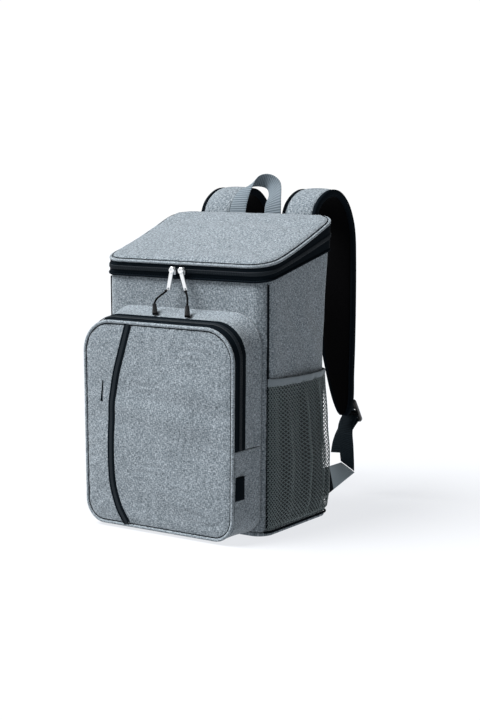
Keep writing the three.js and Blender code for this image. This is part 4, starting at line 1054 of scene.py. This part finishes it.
for side, name in ((1, "right"), (-1, "left")):
    # Painted shade: a dark sheet behind the net, for the shade inside the pocket
    shade_sheet = surface(f"net_shade_sheet_{name}", shade_sheet_points(side), inside=(0, 0, 100))
    dress(shade_sheet, shade_sheet_finish, "plain_fabric")
    net = strands_mesh(f"net_{name}", [net_strands(side, 1), net_strands(side, -1)])
    dress(net, net_finish, "pocket_net", f"mesh_pocket_{name}")
    hem = surface(f"net_hem_{name}", hem_points(side), closed=(False, True), inside=(side * 141, 0, 217))
    dress(hem, hem_finish, "plain_fabric", f"mesh_hem_{name}")

# ---------------------------------------------------------------------------------------------
# Shoulder straps.
# Each strap is a foam pad with mélange cloth on its outer face, black spacer mesh on the inner
# one and black tape bound round both edges. Its root is sewn to the back, its end hangs free.

STRAP_WIDTH, STRAP_INNER, STRAP_REACH = 59.0, 44.0, 130.0
STRAP_END, STRAP_TOP = 126.0, 477.0
PAD_THICK, LINING_THICK, BINDING, SEWN_IN = 7.4, 3.0, 7.2, 5.0
STRAP_THICK = PAD_THICK + SEAM + LINING_THICK
HANDLE_THICK = 1.6
STRAP_ROOT = HALF_DEPTH + HANDLE_THICK + 3 * SEAM
STRAP_RISE = STRAP_TOP - STRAP_END
STRAP_ROWS = np.array([
    [0, 0.764, 0, 1], [0, 0.838, 0, 1], [0.021, 0.889, 0, 1], [0.09, 0.94, 0, 1], [0.243, 0.982, 0, 1],
    [0.418, 1, 0, 1], [0.617, 0.991, 0, 1], [0.808, 0.94, 0, 1], [0.93, 0.863, 0, 1], [0.976, 0.798, 0, 1],
    [0.994, 0.695, 0, 1], [1, 0.496, 0, 1], [0.99, 0.302, 0.02, 1], [0.975, 0.182, 0.19, 1],
    [0.965, 0.068, 0.4, 1], [0.958, 0.014, 0.56, 0.93], [0.956, 0, 0.64, 0.86]])


def strip_frame(edge_a, edge_b, share):
    """Along a flat strip between two edge curves: its first edge, the direction across it, its
    width, and its normal."""
    a, b = curve(edge_a, share), curve(edge_b, share)
    width = np.linalg.norm(b - a, axis=-1)
    across = unit(b - a)
    small = 1e-4
    ahead = np.clip(share + small, 0, 1)
    behind = np.clip(share - small, 0, 1)
    along = unit(sum(unit(curve(edge, ahead) - curve(edge, behind)) for edge in (edge_a, edge_b)))
    normal = unit(np.cross(along, across))
    return a, across, width, normal


def strip_solid(name, edges, steps, section, start=0.0, end=1.0, inside=(0, 0, 0)):
    """A closed section carried along a flat strip. section(share, width) gives two arrays, the
    distance across from the first edge and the distance along the normal; both ends are drawn
    together to close them."""
    share = np.linspace(start, end, steps)
    a, across, width, normal = strip_frame(edges[0], edges[1], share)
    wide, deep = section(share[:, None], width[:, None])
    centre_w, centre_d = wide.mean(1, keepdims=True), deep.mean(1, keepdims=True)
    grid = a[:, None] + across[:, None] * wide[..., None] + normal[:, None] * deep[..., None]
    middle = a[:, None] + across[:, None] * centre_w[..., None] + normal[:, None] * centre_d[..., None]
    tips = np.broadcast_to(middle[[0, -1]], (2, grid.shape[1], 3))
    grid = np.concatenate([tips[:1], grid, tips[1:]])
    made = surface(name, grid, closed=(False, True), inside=inside)
    k = len(grid) // 2
    face_out(made, k * grid.shape[1], (grid[k, 0] + grid[k, 1]) / 2 - grid[k].mean(0))
    work = bmesh.new()
    work.from_mesh(made.data)
    bmesh.ops.remove_doubles(work, verts=work.verts, dist=1e-6)
    work.to_mesh(made.data)
    work.free()
    return made


def slab_section(low, high, inner, outer, corners=28, roundness=4.0):
    """A flat section with rounded edges, a superellipse between the distances low and high; inner
    and outer are the margins from the strip's two edges."""
    turn = np.linspace(0, 2 * np.pi, corners, endpoint=False)[None, :]
    power = 2 / roundness
    c = np.sign(np.cos(turn)) * np.abs(np.cos(turn)) ** power
    s = np.sign(np.sin(turn)) * np.abs(np.sin(turn)) ** power
    def section(share, width):
        middle, half = (inner + width - outer) / 2, (width - outer - inner) / 2
        wide = middle + np.maximum(half, 0.4) * c
        deep = (low + high) / 2 + (high - low) / 2 * s
        return wide + 0 * share, deep + 0 * share + 0 * width
    return section


def spacer_mesh(name, colour):
    """Polyester spacer mesh, warp knitted with small round holes: black and dull. Its holes are
    drawn 3 mm apart, about their real spacing."""
    made, tree, shader = finish_of(name, Base_Color=linear(colour), Roughness=0.9,
                                   Specular_IOR_Level=0.04)
    cut = add(tree, "ShaderNodeUVMap", uv_map="cut")
    holes = add(tree, "ShaderNodeTexVoronoi", {"Vector": (cut, "UV"), "Scale": 330.0, "Randomness": 0.1})
    bumped(tree, shader, (holes, 0), 0.35, 0.0006)
    return made


def ribbed_webbing(name, colour, pale, pitch, gloss):
    """Woven webbing: slightly shiny polyester with ribs across its length. pitch is the ribs'
    spacing in metres, drawn coarser than the real 1 mm so that they show."""
    made, tree, shader = finish_of(name, Roughness=0.72, Specular_IOR_Level=gloss)
    cut = add(tree, "ShaderNodeUVMap", uv_map="cut")
    ribs = add(tree, "ShaderNodeTexWave", {"Vector": (cut, "UV"), "Scale": 0.314 / pitch, "Distortion": 0.4,
                                           "Detail": 1.0}, bands_direction="X")
    tone = blended(tree, (ribs, 1), linear(colour), linear(pale))
    tree.links.new(tone.outputs[2], shader.inputs["Base Color"])
    bumped(tree, shader, (ribs, 1), 0.6, 0.0005)
    return made


spacer = spacer_mesh("polyester_spacer_mesh", "#030304")
dark_web = ribbed_webbing("dark_webbing", "#10191f", "#1c272e", 0.0030, 0.10)


def strap_edges(side):
    """The strap's two edge rows: depth and height from the shares, across from the inner and
    outer shares of its width."""
    y = STRAP_ROOT + STRAP_ROWS[:, 0] * STRAP_REACH
    z = STRAP_END + STRAP_ROWS[:, 1] * STRAP_RISE
    return [np.stack([side * (STRAP_INNER + STRAP_ROWS[:, k] * STRAP_WIDTH), y, z], -1) for k in (2, 3)]


def pad_section(side):
    """The pad's section: a flat back against the lining and a face that swells between the two
    bindings, a little less at the sewn cross channels."""
    turn = np.linspace(0, 2 * np.pi, 36, endpoint=False)[None, :]
    c, s = np.cos(turn), np.sin(turn)
    c4 = np.sign(c) * np.abs(c) ** 0.5
    s4 = np.sign(s) * np.abs(s) ** 0.5
    def section(share, width):
        margin = BINDING - 1.0
        wide = width / 2 + np.maximum(width / 2 - margin, 0.5) * c4
        full = 0.8 + 0.9 * np.sin(np.pi * np.clip(share, 0, 1)) ** 0.3
        low, high = -full * (1 - c4**2), PAD_THICK
        deep = np.where(s4 > 0, mix(PAD_THICK / 2, high, s4), mix(PAD_THICK / 2, low, -s4))
        return wide, side * deep
    return section


def binding_section(side, inner):
    """A taped edge: a superellipse over the strap's whole thickness, one binding wide."""
    turn = np.linspace(0, 2 * np.pi, 20, endpoint=False)[None, :]
    c = np.sign(np.cos(turn)) * np.abs(np.cos(turn)) ** 0.7
    s = np.sign(np.sin(turn)) * np.abs(np.sin(turn)) ** 0.7
    def section(share, width):
        middle = BINDING / 2 if inner else width - BINDING / 2
        deep = side * (STRAP_THICK / 2 + STRAP_THICK / 2 * s)
        return middle + BINDING / 2 * c + 0 * width, deep + 0 * width
    return section


for side, name in ((1, "right"), (-1, "left")):
    edges = strap_edges(side)
    inside = (side * 73, 150, 300)
    pad = strip_solid(f"strap_foam_{name}", edges, 150, pad_section(side), inside=inside)
    dress(pad, heather, "heather_fabric", f"strap_pad_{name}")
    tucked = BINDING - 0.8
    slab = slab_section(side * (PAD_THICK + SEAM), side * (STRAP_THICK + 0.3), tucked, tucked)
    lining = strip_solid(f"strap_spacer_{name}", edges, 120, slab, inside=inside)
    dress(lining, spacer, "strap_spacer_mesh", f"strap_lining_{name}")
    for inner, word in ((True, "inner"), (False, "outer")):
        binding = strip_solid(f"strap_tape_{word}_{name}", edges, 150, binding_section(side, inner),
                              inside=inside)
        dress(binding, black_tape, "black_tape", f"strap_binding_{word}_{name}")

# ---------------------------------------------------------------------------------------------
# Webbing, ladder locks and corner tabs.
# Flat polyester webbing runs from each strap's moulded ladder lock down to a cloth tab in the
# body's rear corner seam, and its loose tail hangs from the lock.

WEB_WIDTH, WEB_THICK = 27.0, 1.5
LOCK_LENGTH, LOCK_LEAN = 44.0, 0.58
TAB_THICK, TAB_SEAM, TAPE_SHARE = 1.8, 46.0, 0.327
THREAD_REACH, THREAD_DEPTH, THREAD_SWING, BAR_PITCH = 16.5, -2.5, 3.8, 13.16
WEB_ROWS = np.array([[0, 1, 1, 1, 0, 0], [0.02, 0.93, 0.93, 1, 0, 0], [0.1, 0.86, 0.83, 1, 0, -0.05],
                     [0.25, 0.81, 0.68, 1, 0, -0.2], [0.4, 0.76, 0.5, 1, 0.06, -0.45],
                     [0.46, 0.74, 0.41, 1, 0.1, -0.6]])
TAIL_ROWS = np.array([[0, 1, 1, 1, 0, 0], [-0.06, 0.95, 0.93, 1, 0, 0], [-0.14, 0.905, 0.83, 1, 0, 0],
                      [-0.2, 0.87, 0.7, 1, 0.05, 0.05], [-0.22, 0.85, 0.56, 1, 0.08, 0.05]])


def lock_point(side, down, forward):
    """Points of the leaning lock's front face, down from its centre and forward of it."""
    x = side * (STRAP_INNER + 0.7 * STRAP_WIDTH)
    face = STRAP_ROOT + 0.967 * STRAP_REACH + SEAM + WEB_THICK
    y = face + SEAM + 0.5 * LOCK_LENGTH * math.sin(LOCK_LEAN)
    z = STRAP_END + 0.08 * LOCK_LENGTH
    y = y + down * math.sin(LOCK_LEAN) - forward * math.cos(LOCK_LEAN)
    z = z - down * math.cos(LOCK_LEAN) - forward * math.sin(LOCK_LEAN)
    return np.stack(np.broadcast_arrays(x, y, z), -1)


def web_edges(side, rows, start, corner, width):
    """Two edge rows of a webbing: its middle goes from the start towards the body's corner by the
    rows' shares, and each edge is half a width to one side along the rows' direction."""
    middle = np.stack([mix(start[0], corner[0], rows[:, 0]), mix(corner[1], start[1], rows[:, 1]),
                       start[2] * rows[:, 2]], -1)
    across = unit(rows[:, 3:] * [side, 1, 1])
    return [middle + across * width * share for share in (-0.5, 0.5)]


def web_section(thickness, ripple=0.0):
    """Webbing: a flat section with rounded edges, its middle cupped by a ripple along it."""
    turn = np.linspace(0, 2 * np.pi, 24, endpoint=False)[None, :]
    c = np.sign(np.cos(turn)) * np.abs(np.cos(turn)) ** 0.35
    s = np.sign(np.sin(turn)) * np.abs(np.sin(turn)) ** 0.6
    def section(share, width):
        cup = ripple * (1 - c**2) * np.sin(np.pi * share) * np.sin(5 * share + 1)
        return width / 2 * (1 + c), thickness / 2 * s + cup + 0 * width
    return section


def trimmed(copy_of, name, finish, slot, bevel, plump=0.0):
    """A hard piece or a cord: the CAD node's mesh copied and merged, pushed out along its normals
    by plump, its edges rounded by a bevel."""
    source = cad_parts[copy_of]
    mesh = source.data.copy()
    mesh.name = name
    work = bmesh.new()
    work.from_mesh(mesh)
    bmesh.ops.remove_doubles(work, verts=work.verts, dist=1e-6)
    bmesh.ops.dissolve_limit(work, angle_limit=math.radians(2), verts=work.verts, edges=work.edges)
    work.to_mesh(mesh)
    work.free()
    if plump:
        spots, outward = (np.empty(len(mesh.vertices) * 3) for _ in range(2))
        mesh.vertices.foreach_get("co", spots)
        mesh.vertices.foreach_get("normal", outward)
        mesh.vertices.foreach_set("co", spots + outward * plump * 0.001)
    made = bpy.data.objects.new(name, mesh)
    bpy.context.collection.objects.link(made)
    rounding = made.modifiers.new("rounding", "BEVEL")
    rounding.width, rounding.segments, rounding.limit_method = bevel * 0.001, 3, "ANGLE"
    rounding.angle_limit = math.radians(35)
    dress(made, finish, slot, copy_of)
    return made


lock_plastic = moulded("moulded_acetal", "#0b0c0e", 0.28)
tab_cloth = plain_weave("tab_polyester", "#87949b", "#6a767d")

for side, name in ((1, "right"), (-1, "left")):
    inside = (side * 90, 215, 90)
    corner = wall_point(np.array(side * BACK_CORNER), np.array(TAB_SEAM), 0)
    start = lock_point(side, 0.18 * LOCK_LENGTH, SEAM + WEB_THICK)
    lower_edges = web_edges(side, WEB_ROWS, start, corner, WEB_WIDTH)
    lower_web = strip_solid(f"lower_web_{name}", lower_edges, 90, web_section(WEB_THICK, 0.5),
                            inside=inside)
    dress(lower_web, dark_web, "dark_webbing", f"lower_webbing_{name}")
    start = lock_point(side, 0.4 * LOCK_LENGTH, 2 * SEAM)
    tail_edges = web_edges(side, TAIL_ROWS, start, corner, WEB_WIDTH)
    tail = strip_solid(f"web_tail_{name}", tail_edges, 70, web_section(WEB_THICK, 0.4), inside=inside)
    dress(tail, dark_web, "dark_webbing", f"webbing_tail_{name}")
    trimmed(f"ladder_lock_{name}", f"ladder_lock_body_{name}", lock_plastic, "black_plastic", 0.9)

    down = np.linspace(-THREAD_REACH, THREAD_REACH, 12)
    weave = THREAD_DEPTH + THREAD_SWING * np.cos(np.pi * (down + BAR_PITCH / 2) / BAR_PITCH)
    middle = lock_point(side, down, weave)
    threaded = strip_solid(f"threaded_web_{name}", [middle - [11, 0, 0], middle + [11, 0, 0]], 60,
                           web_section(WEB_THICK), inside=inside)
    dress(threaded, dark_web, "dark_webbing")

    strap = strap_edges(side)
    def end_section(share, width, side=side):
        wide, deep = web_section(WEB_THICK)(share, 0 * width + WEB_WIDTH)
        return wide + width - SEWN_IN - WEB_WIDTH, deep - side * (SEAM + WEB_THICK / 2)
    end_web = strip_solid(f"strap_end_web_{name}", strap, 40, end_section, 0.81, 0.895, inside)
    dress(end_web, dark_web, "dark_webbing", f"strap_end_loop_{name}")

    seat = corner + [-side * 0.5, 2.2, 0]
    last = curve(lower_edges[0], np.array([0.998, 1.0]))
    ahead = unit(last[1] - last[0])
    tab_edges = []
    for share, edge in ((0.5, lower_edges[0]), (-0.5, lower_edges[1])):
        end = curve(edge, np.array([1.0]))[0] + ahead * (2 * SEAM + TAB_THICK)
        tab_edges.append(np.linspace(seat + [0, 0, share * TAB_SEAM], end, 4))
    tab = strip_solid(f"corner_cloth_{name}", tab_edges, 50, web_section(TAB_THICK, 0.5),
                      TAPE_SHARE + 0.003, 1.0, inside)
    dress(tab, tab_cloth, "plain_fabric", f"corner_tab_{name}")
    tab_tape = strip_solid(f"corner_tape_{name}", tab_edges, 20, web_section(TAB_THICK * 1.4),
                           0.0, TAPE_SHARE, inside)
    dress(tab_tape, black_tape, "black_tape", f"tab_binding_{name}")

# ---------------------------------------------------------------------------------------------
# Carry handle.
# A loop of grey ribbed webbing, sewn flat to the back panel at both ends, that has twisted and
# leaned over to one side.

HANDLE_WIDTH, HANDLE_SPAN, HANDLE_LEAN, HANDLE_RISE = 29.0, 64.0, 26.0, 105.0
HANDLE_ROWS = np.array([
    [-1, 0, 0, 1, 0, 0], [-1, 0, 0.3, 1, 0, 0], [-0.98, 0.17, 0.55, 1, 0, 0.05],
    [-0.76, 0.5, 0.78, 0.93, -0.33, 0.1], [-0.28, 0.78, 0.9, 0.62, -0.55, 0.56],
    [0.42, 0.7, 0.9, 0.53, -0.4, 0.75], [0.86, 0.47, 0.8, 0.62, 0.1, 0.76],
    [0.97, 0.13, 0.6, 0.95, 0.03, 0.3], [1, 0.01, 0.33, 1, 0, 0], [1, 0, 0, 1, 0, 0]])
handle_root = np.array([0, HALF_DEPTH + 2 * SEAM + HANDLE_THICK / 2, STRAP_TOP - 0.236 * STRAP_RISE])
middle = handle_root + HANDLE_ROWS[:, :3] * [HANDLE_SPAN / 2, HANDLE_LEAN, HANDLE_RISE]
across = unit(HANDLE_ROWS[:, 3:])
handle_edges = [middle + across * HANDLE_WIDTH * share for share in (-0.5, 0.5)]
handle_web = ribbed_webbing("grey_handle_webbing", "#4a535a", "#6f7a82", 0.0036, 0.2)
handle = strip_solid("handle_web", handle_edges, 180, web_section(HANDLE_THICK, 0.0), inside=(0, 105, 450))
dress(handle, handle_web, "handle_webbing", "carry_handle")

# ---------------------------------------------------------------------------------------------
# Zip pulls.
# Two plated zinc sliders on the lid's coil, each with a long flat tab. A short loop of black cord
# is knotted through the tab's hole and ends in a moulded grip that lies on the pocket.

EYE_DOWN, EYE_RADIUS, EYE_RIM, EYE_HALF = 3.2, 3.1, 1.7, 1.5
KNOT_RADIUS = 2.1


def plated_zinc(name, colour):
    """Die-cast zinc, nickel plated and tumbled: a bright metal with a softly blurred gloss."""
    made, tree, shader = finish_of(name, Base_Color=linear(colour), Metallic=1.0, Roughness=0.34)
    here = add(tree, "ShaderNodeTexCoord")
    wear = add(tree, "ShaderNodeTexNoise", {"Vector": (here, "Object"), "Scale": 260.0, "Detail": 3.0})
    rough = add(tree, "ShaderNodeMapRange", {"Value": (wear, 0), "To Min": 0.26, "To Max": 0.46})
    tree.links.new(rough.outputs[0], shader.inputs["Roughness"])
    return made


def braided_cord(name, colour):
    """Braided polyester cord: black, with a fine diagonal braid, drawn 1.2 mm apart."""
    made, tree, shader = finish_of(name, Base_Color=linear(colour), Roughness=0.8, Specular_IOR_Level=0.1)
    cut = add(tree, "ShaderNodeUVMap", uv_map="cut")
    braid = add(tree, "ShaderNodeTexWave", {"Vector": (cut, "UV"), "Scale": 260.0},
                bands_direction="DIAGONAL")
    bumped(tree, shader, (braid, 1), 0.5, 0.0003)
    return made


def eye_points(tab):
    """The tab's round eye over the slider's bridge: rows go round the ring, columns round its
    section, a superellipse, in the plane of the tab's two longest directions."""
    spots = places(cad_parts[tab])
    middle = spots.mean(0)
    axes = np.linalg.svd(spots - middle)[2]
    upward = axes[0] * np.sign(axes[0][2])
    reach = ((spots - middle) @ upward).max()
    centre = middle + upward * (reach - EYE_DOWN)
    turn = np.linspace(0, 2 * np.pi, 40, endpoint=False)[:, None, None]
    section = np.linspace(0, 2 * np.pi, 16, endpoint=False)[None, :, None]
    out = EYE_RADIUS + EYE_RIM * np.cos(section)
    normal = np.cross(upward, axes[1])
    return (centre + out * (upward * np.cos(turn) + axes[1] * np.sin(turn))
            + EYE_HALF * normal * np.sign(np.sin(section)) * np.abs(np.sin(section)) ** 0.6)


zinc = plated_zinc("plated_zinc", "#f4f6f7")
cord_finish = braided_cord("black_braided_cord", "#08090a")
grip_plastic = moulded("moulded_grip", "#0a0b0d", 0.52)
for name in ("left", "right"):
    trimmed(f"zip_slider_{name}", f"slider_body_{name}", zinc, "silver_metal", 1.2)
    trimmed(f"pull_tab_{name}", f"tab_plate_{name}", zinc, "silver_metal", 0.45)
    trimmed(f"pull_grip_{name}", f"grip_body_{name}", grip_plastic, "black_plastic", 1.4, plump=0.6)
    eye = surface(f"tab_eye_{name}", eye_points(f"pull_tab_{name}"), closed=(True, True))
    dress(eye, zinc, "silver_metal")
    trimmed(f"pull_loop_{name}", f"loop_cord_{name}", cord_finish, "black_cord", 0.2, plump=0.35)
    low, high = (np.array(corner) * 1000 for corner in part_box(f"pull_loop_{name}"))
    head = np.array([mix(low[0], high[0], 0.93 if name == "left" else 0.15), low[1] + 2.2, high[2] - 0.4])
    line = head + np.outer(np.linspace(-1, 1, 7), [0.8, -0.2, -1.3])
    knot = rod(f"cord_knot_{name}", line, KNOT_RADIUS, (0, 1, 0), 12)
    dress(knot, cord_finish, "black_cord")
